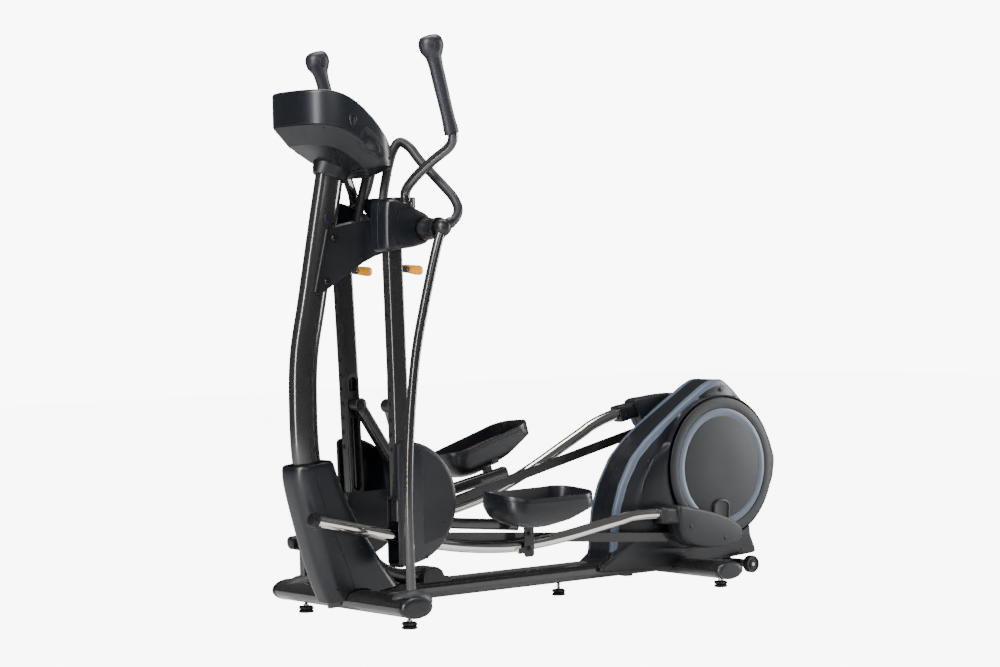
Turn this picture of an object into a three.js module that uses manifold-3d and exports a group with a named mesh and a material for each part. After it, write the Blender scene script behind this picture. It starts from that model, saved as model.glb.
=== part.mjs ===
// Elliptical trainer with adjustable-stride swing arms and a rear crank drive.
// Millimetres, +Z up, +X towards the drive housing, +Y to the user's right.
// Every outline is drawn in a layout frame whose x = 0 is the line of the front feet;
// the whole machine is shifted at the end so that the origin is under its middle.

import * as THREE from 'three';
import { mergeVertices } from 'three/addons/utils/BufferGeometryUtils.js';
import Module from 'manifold-3d';

const wasm = await Module();
wasm.setup();

// ---------------------------------------------------------------- driving dimensions

const LENGTH_CENTRE = 747.5;         // layout x of the middle of the overall length
const GAP = 0.35;                   // clearance between pieces that touch

const HUB = { x: 160, z: 1186 };    // axis of the swing-arm shaft
const CRANK = { x: 1459, z: 381 };  // axis of the crank
const CRANK_RADIUS = 207;
const LEFT_PIN = -95;               // direction of the left crank pin, degrees in the XZ plane
const RIGHT_ARM_LAG = 1.2;          // the right arm hangs this many degrees further back
const RIGHT_RAIL_PITCH = 17.43;     // the right rail climbs this much more than the left
const RIGHT_PEDAL_PITCH = 15.5;       // and the right pedal unit this much more

const RAIL_Y = 142;
const RAIL_RADIUS = 18.5;
const ARM_Y = 134;
const POST_Y = 280;
const GUIDE = { x: 86, z: 255 };    // where the left rail crosses its arm
const PIVOT = { x: 84, z: 653 };    // left link pivot on its stride slider
const MEMBER_X = -15;
const MEMBER_Z = 70;
const REAR_MEMBER = { x: 1310, z: 58 };
const DISC_RADIUS = 234;

// ---------------------------------------------------------------- materials

const finish = (color, roughness, metalness) =>
  new THREE.MeshStandardMaterial({ color, roughness, metalness });
const STEEL = finish(0x4a4b4e, 0.35, 0.75);
const PLASTIC = finish(0x30343b, 0.5, 0.0);
const DARK = finish(0x24262a, 0.6, 0.0);
const CHROME = finish(0xc9c6c0, 0.12, 1.0);
const YELLOW = finish(0xf0a323, 0.35, 0.0);
const RUBBER = finish(0x15161a, 0.8, 0.0);
const IRON = finish(0x6c6e72, 0.5, 0.9);
const SCREEN = finish(0x14161a, 0.2, 0.0);

// ---------------------------------------------------------------- small geometry kit

const radians = THREE.MathUtils.degToRad;
const v3 = (x, y, z) => new THREE.Vector3(x, y, z);

function signedVolume(geometry) {
  const p = geometry.attributes.position;
  const index = geometry.index.array;
  const [a, b, c] = [v3(), v3(), v3()];
  let total = 0;
  for (let i = 0; i < index.length; i += 3) {
    a.fromBufferAttribute(p, index[i]);
    b.fromBufferAttribute(p, index[i + 1]);
    c.fromBufferAttribute(p, index[i + 2]);
    total += a.dot(b.cross(c)) / 6;
  }
  return total;
}

function flipped(geometry) {
  const index = geometry.index.array;
  for (let i = 0; i < index.length; i += 3) {
    [index[i + 1], index[i + 2]] = [index[i + 2], index[i + 1]];
  }
  return geometry;
}

// Position-only indexed mesh with its faces pointing out.
function bare(geometry) {
  let g = geometry.clone();
  g.deleteAttribute('normal');
  if (g.attributes.uv) g.deleteAttribute('uv');
  g = mergeVertices(g, 1e-3);
  return signedVolume(g) < 0 ? flipped(g) : g;
}

const solid = (geometry) => {
  const g = bare(geometry);
  return new wasm.Manifold(new wasm.Mesh({
    numProp: 3,
    vertProperties: new Float32Array(g.attributes.position.array),
    triVerts: new Uint32Array(g.index.array),
  }));
};

function shape(manifold) {
  const mesh = manifold.getMesh();
  const g = new THREE.BufferGeometry();
  g.setAttribute('position', new THREE.BufferAttribute(new Float32Array(mesh.vertProperties), 3));
  g.setIndex(new THREE.BufferAttribute(new Uint32Array(mesh.triVerts), 1));
  return g;
}

const join = (...pieces) => shape(pieces.map(solid).reduce((a, b) => a.add(b)));
const cut = (body, ...tools) => shape(tools.map(solid).reduce((a, b) => a.subtract(b), solid(body)));
const common = (a, b) => shape(solid(a).intersect(solid(b)));

// Rotates a geometry about the Y axis through (x, z); positive lifts the +X end.
const pitched = (geometry, degrees, at) => geometry.clone()
  .translate(-at.x, 0, -at.z).rotateY(-radians(degrees)).translate(at.x, 0, at.z);

const mirrored = (geometry) => flipped(bare(geometry).clone().scale(1, -1, 1));

// The left piece as drawn, or its mirror image for the right side.
const handed = (side, geometry) => (side < 0 ? geometry : mirrored(geometry));

function box(x0, x1, y0, y1, z0, z1) {
  return new THREE.BoxGeometry(x1 - x0, y1 - y0, z1 - z0)
    .translate((x0 + x1) / 2, (y0 + y1) / 2, (z0 + z1) / 2);
}

// Cylinder along Y between y0 and y1.
function pin(x, z, y0, y1, radius, sides = 20) {
  return new THREE.CylinderGeometry(radius, radius, Math.abs(y1 - y0), sides)
    .translate(x, (y0 + y1) / 2, z);
}

function outline(points) {
  return new THREE.Shape(points.map(([x, z]) => new THREE.Vector2(x, z)));
}

// Rectangle with rounded corners, centred on (x, z).
function roundedRect(x, z, width, height, radius, corner = 2) {
  const points = [];
  const cx = width / 2 - radius;
  const cz = height / 2 - radius;
  const centres = [[cx, cz, 0], [-cx, cz, 90], [-cx, -cz, 180], [cx, -cz, 270]];
  for (const [dx, dz, start] of centres) {
    for (let i = 0; i <= corner; i++) {
      const a = radians(start + 90 * i / corner);
      points.push([x + dx + radius * Math.cos(a), z + dz + radius * Math.sin(a)]);
    }
  }
  return points;
}

function ellipse(x, z, a, b, sides, start = 0, sweep = 360) {
  const count = sweep < 360 ? sides + 1 : sides;
  return Array.from({ length: count }, (_, i) => {
    const t = radians(start + sweep * i / sides);
    return [x + a * Math.cos(t), z + b * Math.sin(t)];
  });
}

// Side outline (x, z) given a thickness from y0 to y1, with an optional edge bevel.
function slab(points, y0, y1, bevel = 0) {
  const g = new THREE.ExtrudeGeometry(outline(points), {
    depth: Math.abs(y1 - y0) - 2 * bevel,
    bevelEnabled: bevel > 0,
    bevelThickness: bevel,
    bevelSize: bevel,
    bevelOffset: -bevel,
    bevelSegments: 1,
    curveSegments: 1,
  });
  return g.rotateX(Math.PI / 2).translate(0, Math.max(y0, y1) - bevel, 0);
}

// Plan outline (x, y) given a height from z0 to z1.
function block(points, z0, z1) {
  return new THREE.ExtrudeGeometry(outline(points), { depth: z1 - z0, bevelEnabled: false })
    .translate(0, 0, z0);
}

// Skin over a run of rings that all have the same number of points, closed at both ends.
function loft(rings) {
  const n = rings[0].length;
  const positions = rings.flat().flatMap((p) => [p.x, p.y, p.z]);
  const index = [];
  for (let k = 0; k + 1 < rings.length; k++) {
    for (let i = 0; i < n; i++) {
      const a = k * n + i;
      const b = k * n + (i + 1) % n;
      index.push(a, b, a + n, b, b + n, a + n);
    }
  }
  for (const [k, end] of [[0, 0], [rings.length - 1, 1]]) {
    for (let i = 1; i + 1 < n; i++) {
      const [a, b, c] = [k * n, k * n + i, k * n + i + 1];
      if (end) index.push(a, b, c);
      else index.push(a, c, b);
    }
  }
  const g = new THREE.BufferGeometry();
  g.setAttribute('position', new THREE.BufferAttribute(new Float32Array(positions), 3));
  g.setIndex(index);
  return bare(g);
}

// Oval tube whose centre line lies in the XZ plane at the given y.
// half is the half size in that plane, side the half size along Y.
function ovalSweep(points, y, half, side, steps, sides) {
  const curve = new THREE.CatmullRomCurve3(points.map(([x, z]) => v3(x, 0, z)), false, 'centripetal');
  const rings = [];
  for (let k = 0; k <= steps; k++) {
    const p = curve.getPointAt(k / steps);
    const t = curve.getTangentAt(k / steps);
    rings.push(ellipse(0, 0, half, side, sides).map(([u, w]) =>
      v3(p.x + t.z * u, y + w, p.z - t.x * u)));
  }
  return loft(rings);
}

// Flat bar or box section along a line of (x, z) points, between y0 and y1.
function strap(points, half, y0, y1) {
  const line = points.map(([x, z]) => new THREE.Vector2(x, z));
  const offset = (i, s) => {
    const a = line[Math.max(i - 1, 0)];
    const b = line[Math.min(i + 1, line.length - 1)];
    const d = b.clone().sub(a).normalize();
    return [line[i].x - s * half * d.y, line[i].y + s * half * d.x];
  };
  const top = line.map((_, i) => offset(i, 1));
  const low = line.map((_, i) => offset(i, -1));
  return slab([...top, ...low.reverse()], y0, y1);
}

// Round tube of constant radius through 3-D points.
function tube(points, radius, steps, sides = 12) {
  const path = new THREE.CatmullRomCurve3(points.map((p) => v3(...p)), false, 'centripetal');
  const section = new THREE.Shape(ellipse(0, 0, radius, radius, sides)
    .map(([x, y]) => new THREE.Vector2(x, y)));
  return new THREE.ExtrudeGeometry(section, { steps, extrudePath: path, bevelEnabled: false });
}

// Turned piece: profile of [radius, height] pairs about Z.
function turned(profile, sides = 24) {
  return new THREE.LatheGeometry(profile.map(([r, h]) => new THREE.Vector2(r, h)), sides)
    .rotateX(Math.PI / 2);
}

// ---------------------------------------------------------------- scene graph

const machine = new THREE.Group();
machine.position.x = -LENGTH_CENTRE;

function add(name, geometry, material) {
  const mesh = new THREE.Mesh(bare(geometry), material);
  mesh.name = name;
  machine.add(mesh);
  return mesh;
}

const SIDES = [[-1, 'left'], [1, 'right']];

// ---------------------------------------------------------------- base frame

const MEMBER_HALF = 327;            // half length of the front cross member's tube
const memberSection = (grow) => ellipse(MEMBER_X, MEMBER_Z, 57 + grow, 32 + grow, 16);
const rearSection = (grow) => ellipse(REAR_MEMBER.x, REAR_MEMBER.z, 57 + grow, 29 + grow, 16);
const barSection = (grow) => roundedRect(0, 72, 96 + 2 * grow, 54 + 2 * grow, 20 + grow);
const WHEEL = { x: 1583, z: 42 };

// Straight piece with a constant (y, z) section between two x stations.
const lengthwise = (section, x0, x1) =>
  loft([x0, x1].map((x) => section.map(([y, z]) => v3(x, y, z))));

const frontMember = (grow) => slab(memberSection(grow), -MEMBER_HALF, MEMBER_HALF);
const rearMember = (grow) => slab(rearSection(grow), -270, 270);

add('front_cross_member', frontMember(0), STEEL);
for (const [side, word] of SIDES) {
  const y0 = MEMBER_HALF + GAP;
  const crown = ellipse(MEMBER_X, MEMBER_Z, 44, 20, 16);
  const ring = (points, y) => points.map(([x, z]) => v3(x, side * y, z));
  add(`front_end_cap_${word}`, loft([
    ring(memberSection(0), y0), ring(memberSection(0), 337), ring(crown, 347),
  ]), PLASTIC);
}

add('rear_cross_member', rearMember(0), STEEL);
add('centre_bar', cut(
  join(
    lengthwise(barSection(0), 10, 1540),
    box(1470, 1583, -40, 40, 46, 58),
    pin(WHEEL.x, WHEEL.z, -60, 60, 14, 16),
  ),
  frontMember(GAP),
  rearMember(GAP),
  pin(WHEEL.x, WHEEL.z, -70, 70, 7 + GAP, 16),
), STEEL);

// ---------------------------------------------------------------- levelling feet and wheels

// Turned pad, lock nut and threaded stem, standing on z = 0.
function foot(x, y, top, pad) {
  const profile = [[0, 0], [pad, 0], [pad, 6], [pad - 5, 12], [9, 14], [9, 19], [5, 19], [5, top],
    [0, top]];
  return turned(profile, 12).translate(x, y, 0);
}
for (const [side, word] of SIDES) {
  add(`front_foot_${word}`, foot(8, side * 272, 40, 24), DARK);
  add(`rear_foot_${word}`, foot(1312, side * 235, 28.5, 22), DARK);
}
add('middle_foot', foot(811, 0, 44.5, 22), DARK);

add('transport_wheels', join(
  pin(WHEEL.x, WHEEL.z, -112, -88, 29, 24),
  pin(WHEEL.x, WHEEL.z, 88, 112, 29, 24),
  pin(WHEEL.x, WHEEL.z, -100, 100, 7, 16),
), RUBBER);

// ---------------------------------------------------------------- column, brace and shroud

const COLUMN_LINE = [[-52, 1385], [-55, 1354], [-83, 1214], [-129, 979], [-163, 809], [-170, 650],
  [-163, 498], [-130, 330], [-86, 180], [-48, 60]];
const columnBody = (grow) => ovalSweep(COLUMN_LINE, 0, 47 + grow, 31 + grow, 14, 14);
add('column', cut(
  columnBody(0),
  frontMember(GAP),
  box(-200, 100, -60, 60, 30, 72),
  lengthwise(barSection(GAP), -10, 200),
), STEEL);

const BRACE_LINE = [[-120, 480], [-40, 320], [30, 220], [100, 152], [175, 122], [290, 119]];
const braceBody = (grow) => ovalSweep(BRACE_LINE, 0, 22 + grow, 25 + grow, 10, 10);
add('brace', cut(braceBody(0), columnBody(GAP), lengthwise(barSection(GAP), 0, 400)), STEEL);

// Two-piece plastic shroud round the foot of the column, split along its height.
const SHROUD_FRONT = [[-230, 472], [-230, 438], [-194, 293], [-146, 140], [-114, 66]];
const SHROUD_BACK = [[-100, 472], [-68, 419], [-12, 325], [59, 216], [142, 104]];
function shroudBody(inset, overrun) {
  const line = (points) => new THREE.CatmullRomCurve3(
    points.map(([x, z]) => v3(x, 0, z)), false, 'centripetal');
  const front = line(SHROUD_FRONT);
  const back = line(SHROUD_BACK);
  const rings = [];
  for (let k = 0; k <= 6; k++) {
    const p = front.getPoint(k / 6);
    const q = back.getPoint(k / 6);
    const lift = k === 0 ? overrun : k === 6 ? -overrun : 0;
    const along = q.clone().sub(p);
    const width = along.length() - 2 * inset;
    const centre = p.clone().add(q).multiplyScalar(0.5);
    along.normalize();
    const section = roundedRect(0, 0, width, 2 * (60 - inset), 44 - inset);
    rings.push(section.map(([u, w]) =>
      v3(centre.x + along.x * u, w, centre.z + along.z * u + lift)));
  }
  return loft(rings);
}
const shroud = cut(
  shroudBody(0, 0),
  shroudBody(5, 20),
  slab(memberSection(3), -90, 90),
  lengthwise(barSection(3), -60, 400),
  braceBody(3),
);
const SEAM = [[-172, 520], [-168, 440], [-118, 300], [-60, 170], [-10, 20]];
add('shroud_front', common(shroud, slab([...SEAM, [-400, 20], [-400, 520]], -90, 90)), PLASTIC);
add('shroud_rear', common(shroud, slab([
  ...SEAM.map(([x, z]) => [x + GAP, z]), [400, 20], [400, 520],
], -90, 90)), PLASTIC);

// Oval saddles where the side posts stand on the cross member.
const POST_LINE = [[10, 90], [8, 382], [14, 530], [28, 677], [50, 824], [87, 972], [119, 1083],
  [143, 1157], [157, HUB.z]];
const postTube = (side, grow) =>
  ovalSweep(POST_LINE, side * POST_Y, 14.5 + grow, 14.5 + grow, 12, 10);
for (const [side, word] of SIDES) {
  const ring = (a, b, z) => ellipse(12, side * POST_Y, a, b, 20).map(([x, y]) => v3(x, y, z));
  add(`saddle_${word}`, cut(
    loft([ring(70, 42, 72), ring(70, 42, 96), ring(56, 34, 112), ring(44, 27, 116)]),
    frontMember(GAP),
    box(-120, MEMBER_X, -400, 400, 60, 76),
    postTube(side, GAP),
  ), PLASTIC);
}

// ---------------------------------------------------------------- hub brackets and shaft

const BRACKET_SIDE = [[-92, 1191], [-140, 1001], [-124, 994], [69, 1108], [186, 1150], [194, 1192],
  [178, 1221], [60, 1220]];
// Plan of the folded plate: flat on the column, then out to the hub.
const BRACKET_PLAN = [[-170, -32], [40, -32], [84, -58], [210, -58], [210, -66], [82, -66], [38, -40],
  [-170, -40]];
const boltPattern = [[-72, 1164], [-101, 1033]];
for (const [side, word] of SIDES) {
  const plate = common(slab(BRACKET_SIDE, -90, -20), block(BRACKET_PLAN, 980, 1240));
  const bolts = boltPattern.map(([x, z]) => pin(x, z, -39, -48, 11.5, 12));
  const bored = cut(join(plate, ...bolts), pin(HUB.x, HUB.z, -90, -10, 18 + GAP, 24), columnBody(GAP));
  add(`hub_bracket_${word}`, handed(side, bored), STEEL);
}
const hubShaft = (grow) => join(
  pin(HUB.x, HUB.z, -262, 262, 18 + grow, 20),
  pin(HUB.x, HUB.z, -262, -188, 34 + grow, 20),
  pin(HUB.x, HUB.z, 188, 262, 34 + grow, 20),
);
add('hub_shaft', hubShaft(0), STEEL);

// ---------------------------------------------------------------- side posts, fixed handlebars

const FIXED_LINE = [[160, -280, 1190], [206, -277, 1212], [230, -264, 1244], [232, -240, 1278],
  [223, -195, 1321], [195, -121, 1398], [182, -86, 1440], [164, -62, 1455], [145, -54, 1428],
  [114, -53, 1330], [92, -60, 1240], [82, -60, 1190]];
const knuckle = (side, grow) => new THREE.SphereGeometry(27 + grow, 12, 8)
  .translate(HUB.x - 3, side * POST_Y, HUB.z + 2);
for (const [side, word] of SIDES) {
  add(`side_post_${word}`, cut(join(postTube(side, 0), knuckle(side, 0)),
    frontMember(GAP), hubShaft(GAP)), STEEL);
  const plate = common(slab(BRACKET_SIDE, -90, -20), block(BRACKET_PLAN, 980, 1240));
  const grown = plate.clone().translate(0, GAP + 0.2, GAP);
  const bar = cut(tube(FIXED_LINE, 14.5, 24, 10), knuckle(-1, GAP), grown,
    plate.clone().translate(0, -GAP - 0.2, GAP));
  add(`fixed_handlebar_${word}`, handed(side, bar), DARK);
}

// Accessory tray behind the column, open at the top.
add('tray', cut(
  join(
    block(roundedRect(166, 0, 96, 176, 26, 4), 1250, 1286),
    loft([[76, 112, 1222], [96, 176, 1250.5]].map(([a, b, z]) =>
      roundedRect(166, 0, a, b, 22, 4).map(([x, y]) => v3(x, y, z)))),
  ),
  block(roundedRect(166, 0, 88, 168, 22, 4), 1256, 1300),
), PLASTIC);

// ---------------------------------------------------------------- console

// Plan of a console ring: bowed towards the front, squarer towards the user.
function consoleRing(cx, front, rear, half, height) {
  return Array.from({ length: 20 }, (_, i) => {
    const [c, s] = [Math.cos(i * Math.PI / 10), Math.sin(i * Math.PI / 10)];
    const power = c < 0 ? 2 / 2.8 : 0.5;
    const x = cx + Math.sign(c) * Math.abs(c) ** power * (c < 0 ? front : rear);
    return v3(x, Math.sign(s) * Math.abs(s) ** power * half, height(x));
  });
}
// The display side and the seam both curve down towards the user.
const sag = (x, start, end) => Math.max(0, Math.min(x, end) - start) ** 2;
const displayZ = (drop) => (x) => 1603 - drop - 0.0028 * sag(x, -170, 200);
const displayRing = (scale, drop) =>
  consoleRing(-30, 178 * scale, 134 * scale, 158 * scale, displayZ(drop));
const seamZ = (x) => 1499 - 0.0025 * sag(x, -180, 44);
const undersideZ = (x) => 1442 - 0.0026 * sag(x, -165, 28);
const consoleBody = (drop) => loft([
  displayRing(0.3, 0),
  displayRing(0.65, 0),
  displayRing(0.95, 0),
  displayRing(1, 8),
  consoleRing(-30, 178, 138, 158, seamZ),
  consoleRing(-52, 118, 100, 104, undersideZ),
  consoleRing(-38, 62, 58, 50, (x) => 1374 - 0.4 * (x + 38)),
]).translate(0, 0, -drop);
add('console_housing', cut(
  consoleBody(0),
  loft([
    displayRing(0.2, -20), displayRing(0.5, -20), displayRing(0.86, -20),
    displayRing(0.86, 9), displayRing(0.5, 9), displayRing(0.2, 9),
  ]),
  columnBody(GAP),
  columnBody(GAP).translate(0, 0, 1),
), PLASTIC);
add('console_panel', loft([
  displayRing(0.2, 3), displayRing(0.5, 3), displayRing(0.84, 3),
  displayRing(0.855, 5), displayRing(0.855, 8), displayRing(0.5, 8), displayRing(0.2, 8),
]), SCREEN);

const collarRing = (x, z, a, b) =>
  ellipse(0, 0, a, b, 20).map(([u, w]) => v3(x + u, w, z - 0.33 * u));
add('console_collar', cut(
  loft([collarRing(-58, 1346, 51, 35), collarRing(-50, 1362, 56, 41), collarRing(-37, 1384, 64, 50)]),
  columnBody(GAP),
  consoleBody(GAP),
), PLASTIC);

// ---------------------------------------------------------------- drive housing

// Side outline of the housing, starting at the toe and going up over the top.
const HOUSING = [[938, 66], [942, 86], [980, 104], [990, 128], [1005, 260], [1036, 345], [1089, 430],
  [1150, 485], [1217, 532], [1320, 596], [1422, 656], [1462, 674], [1500, 676], [1545, 644],
  [1590, 602], [1669, 528], [1722, 463], [1746, 393], [1735, 324], [1690, 248], [1616, 171],
  [1564, 122], [1576, 100], [1616, 84], [1618, 68], [1249, 50]];
const toward = ([x, z], fraction) => [x + fraction * (CRANK.x - x), z + fraction * (CRANK.z - z)];
// Every ring is the outline drawn in by a distance towards the crank, or the disc recess itself.
function housingRing(y, inset, recess) {
  return HOUSING.map(([x, z]) => {
    const reach = Math.hypot(x - CRANK.x, z - CRANK.z);
    const target = recess > 0 ? Math.max(recess, reach - inset) : reach - inset;
    const [px, pz] = toward([x, z], 1 - target / reach);
    return v3(px, y, pz);
  });
}
// Left half: a flat-edged band, a bevel, then sides that swell out to the crank disc.
const housingHalf = (wall, open) => loft([
  housingRing(open, wall, 0),
  housingRing(-58 + wall, wall, 0),
  housingRing(-66 + wall, 13 + wall, 0),
  housingRing(-72 + wall, 60 + wall, 244),
  housingRing(-90 + wall, 700, 244 - wall),
]);
const housingShell = cut(
  housingHalf(0, -GAP / 2),
  housingHalf(5, 10),
  lengthwise(barSection(1), 800, 1541),
  box(1460, 1600, -42, 42, 40, 60),
  rearMember(1),
  slab(ellipse(CRANK.x, CRANK.z, 16, 16, 20), -120, 0),
);
for (const [side, word] of SIDES) {
  add(`housing_side_${word}`, handed(side, housingShell), PLASTIC);
}

// ---------------------------------------------------------------- drive train

const FLYWHEEL = { x: 1190, z: 292 };
const FLYWHEEL_RADIUS = 138;
const PULLEY_RADIUS = 112;
const SMALL_RADIUS = 28;
const STAND = [[1110, 108], [1500, 108], [1492, 400], [1459, 428], [1422, 402], [1290, 330], [1240, 452],
  [1146, 452], [1132, 250]];
add('drive_stand', cut(
  join(
    box(1110, 1500, -47, 47, 99 + GAP, 108.5),
    slab(STAND, -47, -41),
    slab(STAND, 41, 47),
  ),
  pin(CRANK.x, CRANK.z, -60, 60, 13 + GAP, 20),
  pin(FLYWHEEL.x, FLYWHEEL.z, -60, 60, 8 + GAP, 16),
), STEEL);
add('crank_axle', pin(CRANK.x, CRANK.z, -101, 101, 13, 20), IRON);
add('drive_pulley', cut(
  pin(CRANK.x, CRANK.z, 12, 32, PULLEY_RADIUS, 28),
  pin(CRANK.x, CRANK.z, 0, 40, 13 + GAP, 20),
  ...[0, 72, 144, 216, 288].map((a) => pin(
    CRANK.x + 62 * Math.cos(radians(a)), CRANK.z + 62 * Math.sin(radians(a)), 0, 40, 24, 8)),
), IRON);
add('flywheel', join(
  pin(FLYWHEEL.x, FLYWHEEL.z, -24, 4, FLYWHEEL_RADIUS, 32),
  pin(FLYWHEEL.x, FLYWHEEL.z, 0, 32, SMALL_RADIUS, 20),
  pin(FLYWHEEL.x, FLYWHEEL.z, -46, 46, 8, 16),
), IRON);
// Belt: the outline of both pulleys wrapped tight.
function wrap(grow) {
  const dx = CRANK.x - FLYWHEEL.x;
  const dz = CRANK.z - FLYWHEEL.z;
  const lean = Math.atan2(dz, dx) * 180 / Math.PI;
  const open = Math.acos((PULLEY_RADIUS - SMALL_RADIUS) / Math.hypot(dx, dz)) * 180 / Math.PI;
  const r1 = PULLEY_RADIUS + grow;
  const r2 = SMALL_RADIUS + grow;
  return [
    ...ellipse(CRANK.x, CRANK.z, r1, r1, 18, lean - 180 + open, 360 - 2 * open),
    ...ellipse(FLYWHEEL.x, FLYWHEEL.z, r2, r2, 8, lean + 180 - open, 2 * open),
  ];
}
add('drive_belt', cut(slab(wrap(4.4), 15, 29), slab(wrap(GAP + 0.5), 0, 40)), RUBBER);
const arc = (r, start, sweep) => ellipse(FLYWHEEL.x, FLYWHEEL.z, r, r, 6, start, sweep);
add('brake', cut(
  slab([...arc(162, 78, 32), ...arc(112, 78, 32).reverse()], -41 + GAP, 41 - GAP),
  slab(ellipse(FLYWHEEL.x, FLYWHEEL.z, 144, 144, 32), -29, 9),
), STEEL);

// Crank discs with a D-shaped boss at the pin.
function crankDisc() {
  const disc = turned([[0, 0], [226, 0], [DISC_RADIUS, 4], [230, 8], [199, 8], [197, 6.5], [174, 6.5],
    [172, 8], [60, 8], [54, 10], [0, 10]], 36)
    .rotateX(Math.PI / 2);
  const boss = [
    ...ellipse(CRANK_RADIUS - 14, 0, 36, 36, 10, -90, 180),
    ...ellipse(130, 0, 22, 36, 8, 90, 180),
  ];
  const raised = slab(boss, -4, -15.5).rotateY(-radians(LEFT_PIN));
  return cut(join(disc, raised).translate(CRANK.x, -92, CRANK.z),
    pin(CRANK.x, CRANK.z, -130, -80, 13 + GAP, 20));
}
add('crank_disc_left', crankDisc(), PLASTIC);
add('crank_disc_right', pitched(mirrored(crankDisc()), 180, CRANK), PLASTIC);

// ---------------------------------------------------------------- swing arms

const ARM_LINE = [[74, 1214], [75, 1110], [83, 750], [87, 370], [87.5, 306]];
const armX = (z) => (z > 750 ? 75 + (1110 - z) * 8 / 360 : 83 + (750 - z) * 4 / 380);
const armSection = (width, depth, radius) => roundedRect(0, -ARM_Y, width, depth, radius, 2);
const sweptArm = (line, width, depth, radius) => loft(line.map(([x, z]) =>
  armSection(width, depth, radius).map(([u, y]) => v3(x + u, y, z))));
// Head of the arm: cheek running back to a barrel on the hub shaft.
const armHead = (grow) => join(
  pin(HUB.x, HUB.z, -113 + grow, -155 - grow, 31 + grow, 24),
  box(60, HUB.x, -149 - grow, -119 + grow, HUB.z - 24 - grow, HUB.z + 24 + grow),
);
const armTube = (grow) => sweptArm(ARM_LINE.map(([x, z], i) => [x, z + (i ? -grow : grow)]),
  56 + 2 * grow, 42 + 2 * grow, 12 + grow);
const slotLine = [[armX(722), 722], [armX(400), 400]];
const hollow = ARM_LINE.map(([x], i) => [x, [1100, 1050, 750, 370, 330][i]]);
const holes = Array.from({ length: 12 }, (_, i) => 1018 - 45 * i).map((z) =>
  new THREE.CylinderGeometry(5.5, 5.5, 12, 6).rotateZ(Math.PI / 2).translate(armX(z) - 28, -ARM_Y, z));
const lever = { x: 118, z: 1066 };
const ears = [-150, -118].map((y) => join(
  box(100, lever.x, y - 2, y + 2, lever.z - 9, lever.z + 9),
  pin(lever.x, lever.z, y - 2, y + 2, 9, 12),
));
const arm = cut(
  join(
    armTube(0), armHead(0), ...ears,
    strap(slotLine.map(([x, z], i) => [x, z + (i ? -7 : 7)]), 22, -110.8, -114),
  ),
  cut(sweptArm(hollow, 48, 34, 8), box(40, 140, -160, -100, 1050.5, 1120)),
  strap(slotLine, 16, -105, -122),
  pin(HUB.x, HUB.z, -160, -108, 18 + GAP, 24),
  ...holes,
);

// Plastic hub cover: one moulding over the head of the arm.
const COVER = [[26, 1270], [40, 1277], [70, 1275], [104, 1262], [152, 1243], [182, 1228], [198, 1200],
  [194, 1166], [178, 1146], [136, 1133], [79, 1126], [34, 1120], [22, 1128], [18, 1190]];
const MOVING_LINE = [[131, -134, 1219], [131, -134, 1262], [129, -136, 1300], [140, -172, 1342],
  [168, -225, 1390], [197, -278, 1436], [196, -290, 1466], [186, -290, 1500]];
const movingTube = (radius) => tube(MOVING_LINE, radius, 14, 10);
const hubCover = cut(
  slab(COVER, -102, -186, 8),
  armHead(GAP),
  armTube(GAP),
  pin(HUB.x, HUB.z, -200, -80, 34.6, 24),
  movingTube(15.5),
  box(60, HUB.x, -150, -118, HUB.z + 20, 1222),
);

// Grip: sleeve, waist and bulb, leaning forward as it rises.
const GRIP_FOOT = { x: 193, z: 1466 };
const GRIP_LEAN = Math.atan2(80, 295) * 180 / Math.PI;
const gripProfile = [[0, 0], [20, 0], [25, 8], [25, 22], [22, 30], [21, 60], [22.5, 140], [23, 210],
  [26, 235], [35, 252], [40, 272], [38, 288], [27, 300], [0, 303]];
const grip = pitched(
  turned(gripProfile, 14).scale(1, 0.84, 1).translate(GRIP_FOOT.x, -290, GRIP_FOOT.z),
  GRIP_LEAN, GRIP_FOOT);
const movingBar = join(movingTube(15), grip);

// Rounded guard round the rail guide: front box and rear half disc, open inside.
const GUARD = { x: 84, z: 361, radius: 186 };
function guardOutline(inset) {
  const r = GUARD.radius - inset;
  const z0 = 168 + inset;
  const arcStart = Math.asin((z0 - GUARD.z) / r > -1 ? (z0 - GUARD.z) / r : -1) * 180 / Math.PI;
  return [
    ...ellipse(GUARD.x, GUARD.z, r, r, 16, arcStart, 90 - arcStart),
    [GUARD.x - 33 + inset, GUARD.z + r],
    [GUARD.x - 33 + inset, z0],
  ];
}
const guard = cut(
  slab(guardOutline(0), -110.4, -176, 5),
  slab(guardOutline(6), -117, -170),
  // mouth at the front, sweep of the rail at the rear, and the way in for the arm
  box(20, 80, -118.5, -168, 180, 372),
  slab([[120, 232], [300, 70], [300, 400], [120, 278]], -116, -168),
  box(-30, 190, -109, -113.2 - 43.6, 380, 620),
  sweptArm([[87, 700], [87.5, 300]], 57, 43.5, 12),
);

// Stride slider: a block inside the arm with a boss through its slot.
const slider = join(
  loft([[PIVOT.z + 42], [PIVOT.z - 42]].map(([z]) =>
    roundedRect(armX(z), -ARM_Y, 46.8, 32.8, 7).map(([x, y]) => v3(x, y, z)))),
  pin(PIVOT.x, PIVOT.z, -130, -109.6, 14, 20),
);
const sliderBored = cut(slider, pin(PIVOT.x, PIVOT.z, -128, -100, 8 + GAP, 16));
const linkPin = join(
  pin(PIVOT.x, PIVOT.z, -127, -66, 8, 16),
  pin(PIVOT.x, PIVOT.z, -70.5, -64, 14, 16),
);

// Stride lever: a flat yellow paddle hinged on the back of the arm.
const stride = cut(join(
  pin(lever.x, lever.z, -147, -121, 8, 14),
  block(roundedRect(32, 0, 64, 26, 8).map(([x, y]) => [lever.x + x, y * (0.92 + x / 110) - ARM_Y]),
    lever.z - 1, lever.z + 8),
), pin(lever.x, lever.z, -160, -110, 2, 8));

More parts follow.
